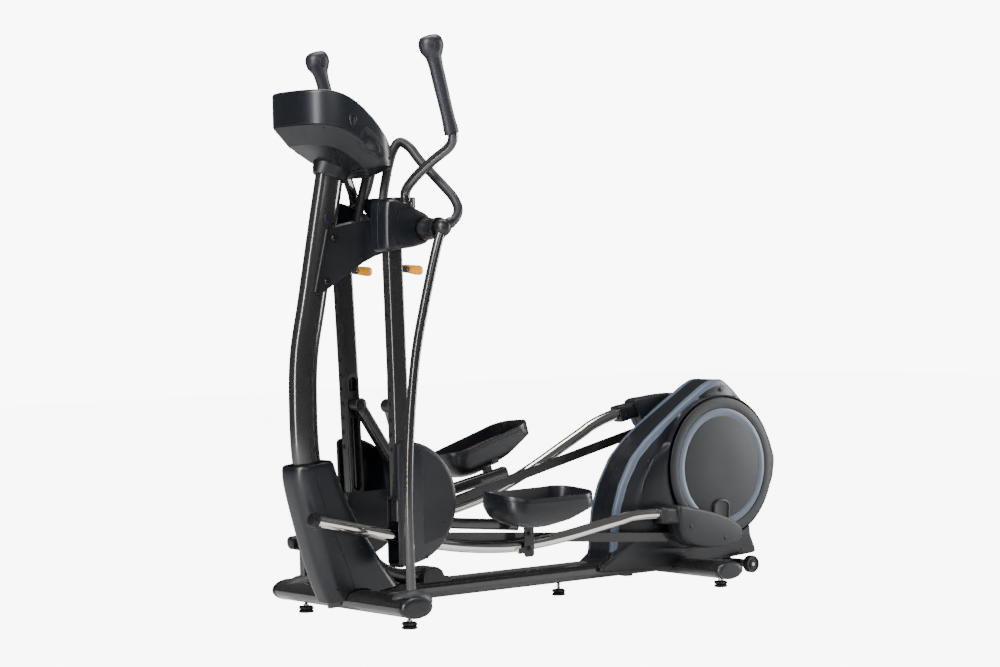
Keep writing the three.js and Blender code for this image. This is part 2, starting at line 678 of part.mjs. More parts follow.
// ---------------------------------------------------------------- link and pedal

const sectionSweep = (points, y, section, steps) => {
  const curve = new THREE.CatmullRomCurve3(points.map(([x, z]) => v3(x, 0, z)), false, 'centripetal');
  return loft(Array.from({ length: steps + 1 }, (_, k) => {
    const p = curve.getPointAt(k / steps);
    const t = curve.getTangentAt(k / steps);
    return section.map(([u, w]) => v3(p.x + t.z * u, y + w, p.z - t.x * u));
  }));
};
const LINK_LINE = [[PIVOT.x + 5, PIVOT.z - 12], [150, 447], [186, 342], [202, 308], [236, 292],
  [313, 279], [420, 268], [560, 254]];
const link = cut(
  join(
    sectionSweep(LINK_LINE, -90, roundedRect(0, 0, 34, 36, 9, 2), 14),
    pin(PIVOT.x, PIVOT.z, -108.8, -71, 21, 20),
  ),
  pin(PIVOT.x, PIVOT.z, -130, -60, 8 + GAP, 16),
);

// Pedal: a dished tray that deepens under the foot, carried on the link's bar.
const PEDAL_RINGS = [
  { z: 268, tilt: 0, x0: 452, x1: 560, y0: -140, y1: -280, r: 40 },
  { z: 286, tilt: 0, x0: 420, x1: 640, y0: -116, y1: -296, r: 40 },
  { z: 322, tilt: -0.01, x0: 397, x1: 736, y0: -109, y1: -300, r: 46 },
  { z: 359, tilt: -0.012, x0: 393, x1: 745, y0: -102, y1: -301, r: 50 },
];
const pedalRing = ({ z, tilt, x0, x1, y0, y1, r }, inset = 0) =>
  roundedRect((x0 + x1) / 2, (y0 + y1) / 2, x1 - x0 - 2 * inset, y0 - y1 - 2 * inset, r - inset, 4)
    .map(([x, y]) => v3(x, y, z + tilt * (x - 570) + 0.075 * (y + 200)));
const tread = PEDAL_RINGS[3];
const tray = cut(
  loft(PEDAL_RINGS.map((ring) => pedalRing(ring))),
  loft([pedalRing({ ...tread, z: 322 }, 10), pedalRing({ ...tread, z: 420 }, 10)]),
);
const carriage = join(
  box(535, 575, -172, -165, 158, 300),
  box(540, 570, -172, -112, 285, 300),
  box(516, 540, -172, -167, 172, 190),
  pin(520, 181, -168, -161.8, 11, 16),
);
const pedal = cut(
  join(tray, carriage),
  sectionSweep(LINK_LINE, -90, roundedRect(0, 0, 34 + 2 * GAP, 36 + 2 * GAP, 9, 2), 14),
);

// ---------------------------------------------------------------- rails

const RAIL_LINE = [[-247, 334], [49, 264], [222, 225], [345, 206], [495, 194], [600, 197], [733, 210],
  [868, 230], [958, 243], [1006, 251], [1106, 251], [1180, 241]];
const railTube = (radius) =>
  tube(RAIL_LINE.map(([x, z]) => [x, -RAIL_Y, z]), radius, 22, 10);
// Moves a piece drawn on the left rail to the right rail's place.
const RAIL_SHIFT = { from: { x: 464, z: 287.5 }, dx: 97.5, dz: 119 };
const toRightRail = (geometry) => pitched(mirrored(geometry), RIGHT_RAIL_PITCH, RAIL_SHIFT.from)
  .translate(RAIL_SHIFT.dx, 0, RAIL_SHIFT.dz);
const bumper = pin(0, 0, -RAIL_Y - 12, -RAIL_Y + 12, 9, 12).translate(-228, 0, 312);
const trunnion = ({ x, z }, side) => pin(x, z, side * 168, side * 119, 9, 16);

const COVER_LINE = [[1192, 269], [1268, 260], [1330, 246], [1386, 229], [1440, 207], [1472, 184],
  [1480, 160], [1462, 134], [1419, 122], [1360, 121], [1291, 127], [1232, 144], [1204, 172],
  [1194, 215]];
const railCover = cut(
  join(
    slab(COVER_LINE, -109.2, -175, 5),
    box(1120, 1200, -RAIL_Y - 27, -RAIL_Y + 27, 214, 274),
    strap([[265, 241], [1334, 155]], 15, -112, -121.5),
  ),
  railTube(RAIL_RADIUS + GAP),
  railTube(RAIL_RADIUS + GAP).translate(1, 0, 0),
);

// ---------------------------------------------------------------- place both sides

const rightArm = (geometry) => pitched(mirrored(geometry), RIGHT_ARM_LAG, HUB);
const swung = ({ x, z }) => {
  const a = radians(RIGHT_ARM_LAG);
  const [dx, dz] = [x - HUB.x, z - HUB.z];
  return { x: HUB.x + dx * Math.cos(a) - dz * Math.sin(a), z: HUB.z + dx * Math.sin(a) + dz * Math.cos(a) };
};
const rightUnit = (geometry) => pitched(rightArm(geometry), RIGHT_PEDAL_PITCH, swung(PIVOT));

const ON_ARM = [
  ['arm', arm, STEEL],
  ['hub_cover', hubCover, PLASTIC],
  ['moving_handlebar', movingBar, DARK],
  ['guard', guard, PLASTIC],
  ['stride_slider', sliderBored, IRON],
  ['stride_lever', stride, YELLOW],
];
const ON_LINK = [
  ['link_pin', linkPin, IRON],
  ['link', link, STEEL],
  ['pedal', pedal, PLASTIC],
];
for (const [name, geometry, material] of ON_ARM) {
  add(`${name}_left`, geometry, material);
  add(`${name}_right`, rightArm(geometry), material);
}
for (const [name, geometry, material] of ON_LINK) {
  add(`${name}_left`, geometry, material);
  add(`${name}_right`, rightUnit(geometry), material);
}
const rail = join(railTube(RAIL_RADIUS), bumper);
add('rail_left', join(rail, trunnion(GUIDE, -1)), CHROME);
add('rail_right', join(toRightRail(rail), trunnion(swung(GUIDE), 1)), CHROME);
add('rail_cover_left', railCover, PLASTIC);
add('rail_cover_right', toRightRail(railCover), PLASTIC);

export default machine;
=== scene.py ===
import math
import bpy
import bmesh
import numpy as np
from mathutils import Matrix, Vector
from mathutils.bvhtree import BVHTree


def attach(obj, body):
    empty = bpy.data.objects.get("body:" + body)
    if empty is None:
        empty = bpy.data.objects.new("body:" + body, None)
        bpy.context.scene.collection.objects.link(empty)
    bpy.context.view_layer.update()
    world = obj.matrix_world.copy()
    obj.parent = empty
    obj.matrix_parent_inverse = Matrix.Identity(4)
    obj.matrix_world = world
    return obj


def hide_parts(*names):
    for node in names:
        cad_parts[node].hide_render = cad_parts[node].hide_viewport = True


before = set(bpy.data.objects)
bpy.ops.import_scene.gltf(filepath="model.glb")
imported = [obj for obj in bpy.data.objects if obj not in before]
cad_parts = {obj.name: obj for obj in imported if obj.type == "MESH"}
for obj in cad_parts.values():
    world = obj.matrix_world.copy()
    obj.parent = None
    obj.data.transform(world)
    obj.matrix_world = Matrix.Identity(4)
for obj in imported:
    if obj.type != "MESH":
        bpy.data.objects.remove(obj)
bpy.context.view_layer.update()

# Layout in millimetres: x = 0 at the front feet, left is -y, z up. MID is the middle of the length.
MID = 747.5
HUB = (160, 1186)        # axis of the swing arms, (x, z)
CRANK = (1459, 381)      # axis of the crank
PIVOT = (84, 653)        # pin between the stride slider and the link
GUIDE = (86, 255)        # where the rail passes through the arm
ARM_LAG = 1.2            # degrees by which the right arm hangs further back
RAIL_PITCH = 17.43       # degrees by which the right rail climbs more
PEDAL_PITCH = 15.5       # degrees by which the right pedal unit climbs more
LEFT_PIN = -95           # crank angle of the left pin
ARM_Y = 134
RAIL_Y = 142
POST_Y = 280
LINK_Y = 90

rad = math.radians
SIDES = ((-1, "left"), (1, "right"))


# ---- outlines

def ellipse(cx, cz, a, b, n, start=0, sweep=360):
    count = n + 1 if sweep < 360 else n
    return [(cx + a * math.cos(rad(start + sweep * i / n)), cz + b * math.sin(rad(start + sweep * i / n)))
            for i in range(count)]


def rounded(cx, cz, w, h, r, n=6):
    pts = []
    for dx, dz, start in ((1, 1, 0), (-1, 1, 90), (-1, -1, 180), (1, -1, 270)):
        for i in range(n + 1):
            t = rad(start + 90 * i / n)
            pts.append((cx + dx * (w / 2 - r) + r * math.cos(t), cz + dz * (h / 2 - r) + r * math.sin(t)))
    return pts


def curve(points, n, closed=False):
    """Evenly spaced points on a centripetal Catmull-Rom curve."""
    p = [np.array(q, float) for q in points]
    if closed:
        p = [p[-1]] + p + [p[0], p[1]]
    else:
        p = [2 * p[0] - p[1]] + p + [2 * p[-1] - p[-2]]
    out = []
    for i in range(len(p) - 3):
        p0, p1, p2, p3 = p[i:i + 4]
        t0 = 0
        t1 = t0 + np.linalg.norm(p1 - p0) ** 0.5
        t2 = t1 + np.linalg.norm(p2 - p1) ** 0.5
        t3 = t2 + np.linalg.norm(p3 - p2) ** 0.5
        for t in np.linspace(t1, t2, 24, endpoint=False):
            a1 = (t1 - t) / (t1 - t0) * p0 + (t - t0) / (t1 - t0) * p1
            a2 = (t2 - t) / (t2 - t1) * p1 + (t - t1) / (t2 - t1) * p2
            a3 = (t3 - t) / (t3 - t2) * p2 + (t - t2) / (t3 - t2) * p3
            b1 = (t2 - t) / (t2 - t0) * a1 + (t - t0) / (t2 - t0) * a2
            b2 = (t3 - t) / (t3 - t1) * a2 + (t - t1) / (t3 - t1) * a3
            out.append((t2 - t) / (t2 - t1) * b1 + (t - t1) / (t2 - t1) * b2)
    out.append(p[1] if closed else p[-2])
    out = np.array(out)
    s = np.concatenate([[0], np.cumsum(np.linalg.norm(np.diff(out, axis=0), axis=1))])
    at = np.linspace(0, s[-1], n + 1)
    even = np.stack([np.interp(at, s, out[:, k]) for k in range(out.shape[1])], axis=1)
    return [tuple(q) for q in (even[:-1] if closed else even)]


def turn(point, degrees, about):
    """Rotates an (x, z) point; positive lifts the +X end."""
    c, s = math.cos(rad(degrees)), math.sin(rad(degrees))
    dx, dz = point[0] - about[0], point[1] - about[1]
    return about[0] + dx * c - dz * s, about[1] + dx * s + dz * c


# ---- meshes

def metres(x, y, z):
    return (x - MID) / 1000, y / 1000, z / 1000


def build(verts, faces):
    """New object from points in layout millimetres; dress gives it its name."""
    me = bpy.data.meshes.new("piece")
    me.from_pydata([metres(*v) for v in verts], [], faces)
    bm = bmesh.new()
    bm.from_mesh(me)
    bmesh.ops.remove_doubles(bm, verts=bm.verts, dist=1e-6)
    bmesh.ops.recalc_face_normals(bm, faces=bm.faces)
    bm.to_mesh(me)
    bm.free()
    ob = bpy.data.objects.new("piece", me)
    bpy.context.scene.collection.objects.link(ob)
    return ob


def loft(rings, closed=False):
    """Skin through rings of points, with flat ends or, if closed, round to the first ring."""
    n, count = len(rings[0]), len(rings)
    faces = []
    for k in range(count if closed else count - 1):
        here, there = k * n, (k + 1) % count * n
        for i in range(n):
            j = (i + 1) % n
            faces.append((here + i, here + j, there + j, there + i))
    if not closed:
        faces.append(tuple(range(n))[::-1])
        faces.append(tuple(range((count - 1) * n, count * n)))
    return build([v for ring in rings for v in ring], faces)


def slab(outline, y0, y1):
    return loft([[(x, y, z) for x, z in outline] for y in (y0, y1)])


def block(outline, z0, z1):
    return loft([[(x, y, z) for x, y in outline] for z in (z0, z1)])


def box(x0, x1, y0, y1, z0, z1):
    return block([(x0, y0), (x1, y0), (x1, y1), (x0, y1)], z0, z1)


def sweep(points, section, n, y=0.0):
    """Section (in plane, along y) carried along an (x, z) line at one y."""
    line = curve(points, n)
    rings = []
    for k, p in enumerate(line):
        q, r = line[max(k - 1, 0)], line[min(k + 1, n)]
        t = np.array([r[0] - q[0], r[1] - q[1]])
        t /= np.linalg.norm(t)
        rings.append([(p[0] + t[1] * u, y + w, p[1] - t[0] * u) for u, w in section])
    return loft(rings)


def pipe(points, radius, n, sides=28):
    """Round tube through 3-D points, without twist."""
    line = [np.array(p) for p in curve(points, n)]
    normal = None
    rings = []
    for k, p in enumerate(line):
        t = line[min(k + 1, n)] - line[max(k - 1, 0)]
        t = t / np.linalg.norm(t)
        if normal is None:
            normal = np.cross(t, (0.31, 0.2, 0.93))
        normal = normal - t * np.dot(normal, t)
        normal /= np.linalg.norm(normal)
        side = np.cross(t, normal)
        rings.append([tuple(p + radius * (math.cos(a) * normal + math.sin(a) * side))
                      for a in np.linspace(0, 2 * math.pi, sides, endpoint=False)])
    return loft(rings)


def lathe(profile, at, axis="Z", sides=40, lobes=0, depth=0.0):
    """Turned piece; profile is (radius, height) along +axis from at, which is (x, y, z) or (x, z)."""
    x, y, z = at if len(at) == 3 else (at[0], 0, at[1])
    rings = []
    for r, h in profile:
        ring = []
        for i in range(sides):
            a = 2 * math.pi * i / sides
            rr = max(r, 0.01) * (1 + (depth * math.cos(lobes * a) if lobes else 0))
            u, w = rr * math.cos(a), rr * math.sin(a)
            ring.append({"Z": (x + u, y + w, z + h), "Y": (x + u, y + h, z + w),
                         "X": (x + h, y + u, z + w)}[axis])
        rings.append(ring)
    return loft(rings)


def turned(profile, *place, **more):
    """Turned piece whose two ends are closed flat to the axis."""
    return lathe([(0, profile[0][1])] + profile + [(0, profile[-1][1])], *place, **more)


def cut(ob, cutter, how="DIFFERENCE"):
    mod = ob.modifiers.new("cut", "BOOLEAN")
    mod.operation = how
    mod.solver = "EXACT"
    mod.object = cutter
    graph = bpy.context.evaluated_depsgraph_get()
    made = bpy.data.meshes.new_from_object(ob.evaluated_get(graph))
    ob.modifiers.remove(mod)
    ob.data = made
    bpy.data.objects.remove(cutter)
    return ob


def bore(ob, axis, radius, y0, y1, sides=40):
    """Round hole along Y from y0 to y1."""
    return cut(ob, turned([(radius, y0), (radius, y1)], axis, "Y", sides))


def spin(degrees, about):
    centre = Vector(metres(about[0], 0, about[1]))
    return Matrix.Translation(centre) @ Matrix.Rotation(-rad(degrees), 4, "Y") @ Matrix.Translation(-centre)


# What follows the mirror image to bring a right-hand piece to its place, by body.
ARM_MOVES = [spin(ARM_LAG, HUB)]
RAIL_FROM = (464, 287.5)
RIGHT_MOVES = {
    "frame": [],
    "crank": [spin(180, CRANK)],
    "swing_arm": ARM_MOVES,
    "slider": ARM_MOVES,
    "lever": ARM_MOVES,
    "pedal_unit": ARM_MOVES + [spin(PEDAL_PITCH, turn(PIVOT, ARM_LAG, HUB))],
    "rail_unit": [spin(RAIL_PITCH, RAIL_FROM), Matrix.Translation((0.0975, 0, 0.119))],
}


def twin(ob, body="frame"):
    """The right-hand copy of a left-hand piece."""
    other = ob.copy()
    other.data = ob.data.copy()
    bpy.context.scene.collection.objects.link(other)
    bm = bmesh.new()
    bm.from_mesh(other.data)
    for move in [Matrix.Scale(-1, 4, (0, 1, 0))] + RIGHT_MOVES[body]:
        bmesh.ops.transform(bm, matrix=move, verts=bm.verts)
    bmesh.ops.reverse_faces(bm, faces=bm.faces)
    bm.to_mesh(other.data)
    bm.free()
    return other


def dress(ob, name, mat, body="frame", slot="plastic", nodes=(), bevel=0.0, segments=3, angle=32):
    ob.name = name
    ob.data.materials.clear()
    ob.data.materials.append(mat)
    ob.data.polygons.foreach_set("use_smooth", [True] * len(ob.data.polygons))
    ob.data.set_sharp_from_angle(angle=rad(angle))
    if bevel:
        mod = ob.modifiers.new("edge", "BEVEL")
        mod.width = bevel / 1000
        mod.segments = segments
        mod.limit_method = "ANGLE"
        mod.angle_limit = rad(angle)
        mod.harden_normals = True
    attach(ob, body)
    if nodes:
        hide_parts(*nodes)
    return ob


def pair(left, stem, mat, body="frame", slot="plastic", nodes=(), **more):
    """Dresses a left piece and its right twin; names and moving bodies end in the side."""
    fixed = body in ("frame", "crank")
    for ob, word in ((left, "left"), (twin(left, body), "right")):
        names = [f"{n}_{word}" if f"{n}_{word}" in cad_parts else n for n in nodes]
        dress(ob, f"{stem}_{word}", mat, body if fixed else f"{body}_{word}", slot, names, **more)


# ---- materials

def node(tree, kind, inputs=(), **links):
    """Adds a shader node; links are input=output socket, with _ for a space."""
    made = tree.nodes.new("ShaderNode" + kind)
    for key, value in dict(inputs).items():
        made.inputs[key].default_value = value
    for key, output in links.items():
        tree.links.new(output, made.inputs[key.replace("_", " ")])
    return made


def material(name, color, rough, metal=0.0, tone=0.12, grain=900.0, bump=0.03, coat=0.0,
             rough_var=0.06, stretch=(1, 1, 1)):
    """Coarse and fine noise vary the colour by tone and the roughness, and the fine one the relief."""
    m = bpy.data.materials.new(name)
    m.use_nodes = True
    nt = m.node_tree
    b = nt.nodes["Principled BSDF"]
    where = node(nt, "TexCoord")
    spot = node(nt, "Mapping", {"Scale": stretch}, Vector=where.outputs["Object"]).outputs["Vector"]
    big = node(nt, "TexNoise", {"Scale": 6.0, "Detail": 5.0}, Vector=spot)
    fine = node(nt, "TexNoise", {"Scale": grain, "Detail": 3.0}, Vector=spot)
    blend = node(nt, "MixRGB", {"Fac": 0.35}, Color1=big.outputs["Fac"], Color2=fine.outputs["Fac"])
    ramp = node(nt, "ValToRGB", Fac=blend.outputs["Color"])
    for stop, at, share in zip(ramp.color_ramp.elements, (0.35, 0.65), (1 - tone, 1 + tone)):
        stop.position = at
        stop.color = (*[min(1, c * share) for c in color], 1)
    level = node(nt, "MapRange", {"To Min": max(0.02, rough - rough_var),
                                  "To Max": min(1.0, rough + rough_var)}, Value=blend.outputs["Color"])
    relief = node(nt, "Bump", {"Strength": bump, "Distance": 0.001}, Height=fine.outputs["Fac"])
    for key, output in (("Base Color", ramp.outputs["Color"]), ("Roughness", level.outputs["Result"]),
                        ("Normal", relief.outputs["Normal"])):
        nt.links.new(output, b.inputs[key])
    for key, value in (("Metallic", metal), ("Coat Weight", coat), ("Coat Roughness", 0.08)):
        b.inputs[key].default_value = value
    return m


PLASTIC = material("satin_plastic", (0.0042, 0.0056, 0.0086), 0.34, bump=0.015, grain=1400, tone=0.08)
PLASTIC_DEEP = material("deep_plastic", (0.0034, 0.0042, 0.0062), 0.40, bump=0.03, grain=1200, tone=0.10)
SADDLE = material("grey_plastic", (0.026, 0.027, 0.031), 0.46, bump=0.04, grain=1100, tone=0.10)
STRIPE = material("stripe_paint", (0.088, 0.112, 0.155), 0.36, bump=0.06, grain=1500, tone=0.06)
PAINT = material("metallic_paint", (0.030, 0.0290, 0.0290), 0.20, metal=0.55, coat=0.9, bump=0.002,
                 grain=300, tone=0.04, rough_var=0.01)
PAINT_DARK = material("metallic_paint_dark", (0.022, 0.0212, 0.0215), 0.26, metal=0.4, coat=0.4,
                      bump=0.004, grain=900, tone=0.07, rough_var=0.02)
CHROME = material("polished_chrome", (0.78, 0.75, 0.70), 0.09, metal=1.0, bump=0.015, grain=500,
                  tone=0.04, rough_var=0.03, stretch=(0.15, 1, 1))
FOAM = material("matt_foam", (0.0085, 0.0090, 0.0115), 0.5, bump=0.06, grain=700, tone=0.15)
GRIP = material("grip_rubber", (0.0120, 0.0130, 0.0185), 0.44, bump=0.03, grain=900, tone=0.12)
AMBER = material("amber_plastic", (1.0, 0.36, 0.006), 0.3, bump=0.01, grain=300, tone=0.05, coat=0.15)
RUBBER = material("black_rubber", (0.0065, 0.0065, 0.0070), 0.58, bump=0.08, grain=500, tone=0.18)
IRON = material("machined_steel", (0.42, 0.42, 0.43), 0.33, metal=1.0, bump=0.08, grain=260, tone=0.1,
                stretch=(1, 6, 1))
ZINC = material("zinc_hardware", (0.62, 0.62, 0.60), 0.25, metal=1.0, bump=0.05, grain=500, tone=0.08)
BLACKHW = material("black_hardware", (0.0075, 0.0075, 0.0085), 0.34, metal=0.3, bump=0.06, grain=900)
TREAD = material("tread_rubber", (0.050, 0.038, 0.031), 0.66, bump=0.4, grain=420, tone=0.2)
SCREEN = material("display_glass", (0.004, 0.005, 0.007), 0.12, bump=0.01, grain=300, tone=0.2, coat=0.8)
MATT = material("matt_plastic", (0.0042, 0.0055, 0.0086), 0.50, bump=0.03, grain=1300, tone=0.08)
KEYS = material("key_panel", (0.028, 0.032, 0.042), 0.36, bump=0.05, grain=900)
WHITE = material("roller_nylon", (0.72, 0.71, 0.68), 0.4, bump=0.05, grain=600, tone=0.05)


def screw(name, at, sign, radius, body="frame"):
    """Pair of recessed round screw heads: a rim and a dark round well."""
    profile = [(0.01, 0), (radius, 0), (radius, 0.9), (radius * 0.86, 1.5), (radius * 0.5, 1.7),
               (radius * 0.42, 0.6), (0.01, 0.5)]
    head = lathe([(r, h * sign) for r, h in profile], at, "Y", 20)
    pair(head, name, BLACKHW, body, "dark_coating")


# ---- base

def y_rings(section, stations):
    """Section outline grown by d at each (y, d) station, for a bar lying along Y."""
    cx, cz = np.mean(section, axis=0)
    rings = []
    for y, d in stations:
        grown = [(x, z, 1 + d / math.hypot(x - cx, z - cz)) for x, z in section]
        rings.append([(cx + (x - cx) * k, y, cz + (z - cz) * k) for x, z, k in grown])
    return rings


FRONT = ellipse(-15, 70, 57, 32, 64)
REAR = ellipse(1310, 58, 57, 29, 64)
dress(loft(y_rings(FRONT, [(-328, 0), (-110, 0), (110, 0), (328, 0)])),
      "front_tube", PAINT, "frame", "steel", ["front_cross_member"])
dress(loft(y_rings(REAR, [(-270, 0), (270, 0)])),
      "rear_tube", PAINT, "frame", "steel", ["rear_cross_member"])
pair(loft(y_rings(FRONT, [(-327.5, -6), (-327.6, 0.9), (-338, 0.9), (-343, -0.6), (-346, -3.2),
                          (-345.4, -6), (-346.6, -9), (-347, -20)])),
     "front_cap", PLASTIC, nodes=["front_end_cap"], angle=50)
pair(loft(y_rings(REAR, [(-269.5, -6), (-269.6, 0.9), (-279, 0.9), (-284, -0.8), (-287, -3.4),
                         (-286.5, -6), (-287.4, -9), (-288, -20)])),
     "rear_cap", PLASTIC, angle=50)
dress(loft([[(x, y, z) for y, z in rounded(0, 72, 96, 54, 20, 8)]
            for x in (12, 300, 600, 900, 1200, 1540)]),
      "base_bar", PAINT, "frame", "steel", ["centre_bar"])
pair(loft([[(12 + x, -POST_Y + y, z) for x, y in ellipse(0, 0, a, b, 56)] for z, a, b in
           ((74, 70, 42), (80, 70.5, 42.5), (90, 69, 41.5), (99, 64, 38), (106, 55, 33),
            (111, 43, 27), (114.5, 30, 22), (116, 20, 18.5), (116.2, 15, 15))]),
     "saddle", SADDLE, nodes=["saddle"], angle=60)
cover = [(236, 92), (240, 128), (252, 141), (292, 141), (310, 130), (318, 112), (338, 109), (346, 104),
         (346, 92)]
dress(slab(cover, -43, 43), "brace_cover", PLASTIC_DEEP, bevel=5)


def foot(x, y, top, pad, lobe_depth):
    """Levelling foot: rubber pad, lobed knob and threaded stem up to top."""
    yield turned([(pad - 3, 0), (pad, 1.5), (pad, 5), (pad - 3, 8), (10, 9.5)], (x, y, 0)), "pad", RUBBER
    yield (turned([(pad - 5, 0), (pad - 2, 2.5), (pad - 2, 8.5), (pad - 6, 11), (9, 12)], (x, y, 9.6),
                  lobes=6, depth=lobe_depth, sides=72), "knob", BLACKHW)
    thread = [(5.4 - 0.8 * (i % 2), 1 + i) for i in range(top - 21)]
    yield turned([(5, 0)] + thread + [(5, top - 20)], (x, y, 21), sides=24), "stem", ZINC


for stem, x, y, top, pad in (("front_foot", 8, -272, 41, 24), ("rear_foot", 1312, -235, 30, 22)):
    parts = [*foot(x, y, top, pad, 0.14),
             (turned([(9, 0), (9.5, 1), (9.5, 4), (9, 5)], (x, y, 21.6), sides=6), "nut", ZINC)]
    for ob, word, mat in parts:
        for piece, side in ((ob, "left"), (twin(ob), "right")):
            body = f"{stem}_{side}"
            nodes = [body] if word == "pad" else []
            dress(piece, f"{stem}_{word}_{side}", mat, body, "dark_coating", nodes)
for ob, word, mat in foot(811, 0, 43, 22, 0.12):
    nodes = ["middle_foot"] if word == "pad" else []
    dress(ob, f"middle_{word}", mat, "middle_foot", "dark_coating", nodes)

HALF_WHEEL = [(29, 9), (27, 12), (23, 12), (22, 9), (15, 9), (14, 12), (10, 12), (9, 11)]
AXLE = (1583, 42)
for side, word in SIDES:
    wheel = turned([(r, -h) for r, h in HALF_WHEEL[::-1]] + HALF_WHEEL,
                   (AXLE[0], side * 100, AXLE[1]), "Y", 48)
    dress(wheel, f"wheel_{word}", RUBBER, "wheels", "rubber", ["transport_wheels"], angle=40)
dress(turned([(6, -112.5), (7, -110), (7, 110), (6, 112.5)], AXLE, "Y"),
      "wheel_axle", ZINC, "wheels", "rubber")
dress(lathe([(7.6, -60), (14, -60), (14, 60), (7.6, 60)], AXLE, "Y"),
      "wheel_lug", PAINT_DARK, "frame", "steel")
dress(box(1470, 1570, -38, 38, 47, 57), "wheel_plate", PAINT_DARK, "frame", "steel", bevel=1.5)

# ---- column, brace, shroud

COLUMN = [(-52, 1385), (-55, 1354), (-83, 1214), (-129, 979), (-163, 809), (-170, 650), (-163, 498),
          (-130, 330), (-86, 180), (-48, 60)]
BRACE = [(-120, 480), (-40, 320), (30, 220), (100, 152), (175, 122), (290, 119)]


def column(grow=0, n=90):
    return sweep(COLUMN, ellipse(0, 0, 47 + grow, 31 + grow, 56), n)


dress(cut(column(), slab(ellipse(-15, 70, 56, 31, 48), -60, 60)),
      "mast", PAINT, "frame", "steel", ["column"])
dress(sweep(BRACE, ellipse(0, 0, 22, 25, 40), 60), "mast_brace", PAINT_DARK, "frame", "steel", ["brace"])
dress(lathe([(0.01, 0), (17.5, 0), (17.5, -2.2), (15.5, -3.6), (0.01, -4)],
            (-80, -30, 1224), "Y", 40), "mast_plug", PLASTIC_DEEP)

FRONT_EDGE = [(-232, 488), (-230, 438), (-194, 293), (-146, 140), (-114, 66)]
BACK_EDGE = [(-90, 502), (-62, 426), (-12, 325), (59, 216), (142, 104)]


def shroud(inset, over):
    front, back = curve(FRONT_EDGE, 60), curve(BACK_EDGE, 60)
    rings = []
    for k, (p, q) in enumerate(zip(front, back)):
        dx, dz = q[0] - p[0], q[1] - p[1]
        length = math.hypot(dx, dz)
        dx, dz = dx / length, dz / length
        cx, cz = (p[0] + q[0]) / 2, (p[1] + q[1]) / 2
        pull = inset + (12 * (1 - math.sqrt(max(0, 1 - (1 - k / 2.5) ** 2))) if k < 2.5 and not over else 0)
        lift = over if k == 0 else -over if k == 60 else 0
        rings.append([(cx + dx * u, w, cz + dz * u + lift) for u, w in
                      rounded(0, 0, length - 2 * pull, 2 * (60 - pull), max(44 - pull, 20), 10)])
    return loft(rings)


SEAM = [(-172, 520), (-168, 440), (-118, 300), (-60, 170), (-10, 20)]
for word, outline in (
        ("front", SEAM + [(-400, 20), (-400, 520)]),
        ("rear", [(x + 1.6, z) for x, z in SEAM] + [(400, 20), (400, 520)])):
    shell = cut(shroud(0, 0), shroud(5, 20))
    cut(shell, slab(ellipse(-15, 70, 60, 35, 60), -90, 90))
    cut(shell, slab(outline, -90, 90), "INTERSECT")
    dress(shell, f"shroud_{word}_shell", PLASTIC, nodes=[f"shroud_{word}"], bevel=1.2, segments=2,
          angle=40)
for i, (x, y, z) in enumerate(((-179, -50, 418), (-98, -59.6, 109), (-8, -59.6, 235), (88, -55, 122),
                               (-81, -57, 382))):
    screw(f"shroud_screw_{i}", (x, y, z), -1, 6)

# ---- hub, posts, fixed handlebars

BRACKET = [(-92, 1191), (-140, 1003), (-136, 996), (-124, 995), (69, 1108), (186, 1150), (194, 1192),
           (178, 1221), (60, 1220)]
PLAN = [(-170, -32), (40, -32), (84, -58), (210, -58), (210, -66), (82, -66), (38, -40), (-170, -40)]
plate = cut(slab(BRACKET, -90, -20), block(PLAN, 980, 1240), "INTERSECT")
cut(plate, column(0.4, 40))
lip = loft([[(x + u, y, z) for u, y in rounded(0, -37, 12, 13, 5, 4)] for x, z in
            ((-94, 1190), (-141, 1004))])
pair(lip, "bracket_lip", PLASTIC_DEEP, "frame", "steel", angle=50)
pair(plate, "hub_plate", PLASTIC_DEEP, "frame", "steel", ["hub_bracket"], bevel=1.4)
for i, (x, z) in enumerate(((-72, 1164), (-101, 1033))):
    bolt = lathe([(0.01, 0), (12.5, 0), (12.5, -1.5), (11, -1.6), (10.5, -4), (8.4, -6.4),
                  (4.4, -7.4), (4, -5), (0.01, -4.6)], (x, -40, z), "Y", 40)
    pair(bolt, f"hub_bolt_{i}", BLACKHW, "frame", "dark_coating")
boss = lathe([(0.01, -262), (33, -262), (34, -260), (34, -254), (31.5, -251), (31.5, -214),
              (34, -210), (34, -190), (32.5, -188), (18.2, -188), (18.2, -60), (0.01, -60)],
             HUB, "Y", 56)
pair(boss, "hub_barrel", PLASTIC_DEEP, "frame", "steel", ["hub_shaft"])

POST = [(10, 90), (8, 382), (14, 530), (28, 677), (50, 824), (87, 972), (119, 1083), (143, 1157), (157, 1186)]
pair(sweep(POST, ellipse(0, 0, 14.5, 14.5, 36), 90, -POST_Y), "post", PAINT,
     "frame", "steel", ["side_post"])
knuckle = lathe([(0.01, -27)] + [(27 * math.cos(rad(a)), 27 * math.sin(rad(a)))
                                 for a in range(-84, 85, 7)] + [(0.01, 27)],
                (157, -POST_Y, 1188), "Z", 48)
pair(knuckle, "post_knuckle", PLASTIC_DEEP, "frame", "steel", angle=60)
FIXED = [(160, -280, 1190), (206, -277, 1212), (230, -264, 1244), (232, -240, 1278),
         (223, -195, 1321), (195, -121, 1398), (182, -86, 1440), (164, -62, 1455), (145, -54, 1428),
         (114, -53, 1330), (92, -60, 1240), (82, -60, 1190)]
pair(pipe(FIXED, 14.5, 150), "fixed_bar", FOAM, "frame", "dark_coating",
     ["fixed_handlebar"])
collar = pipe([(176, -279.6, 1197), (184, -279, 1200.5), (192, -278.4, 1204)], 17.5, 6)
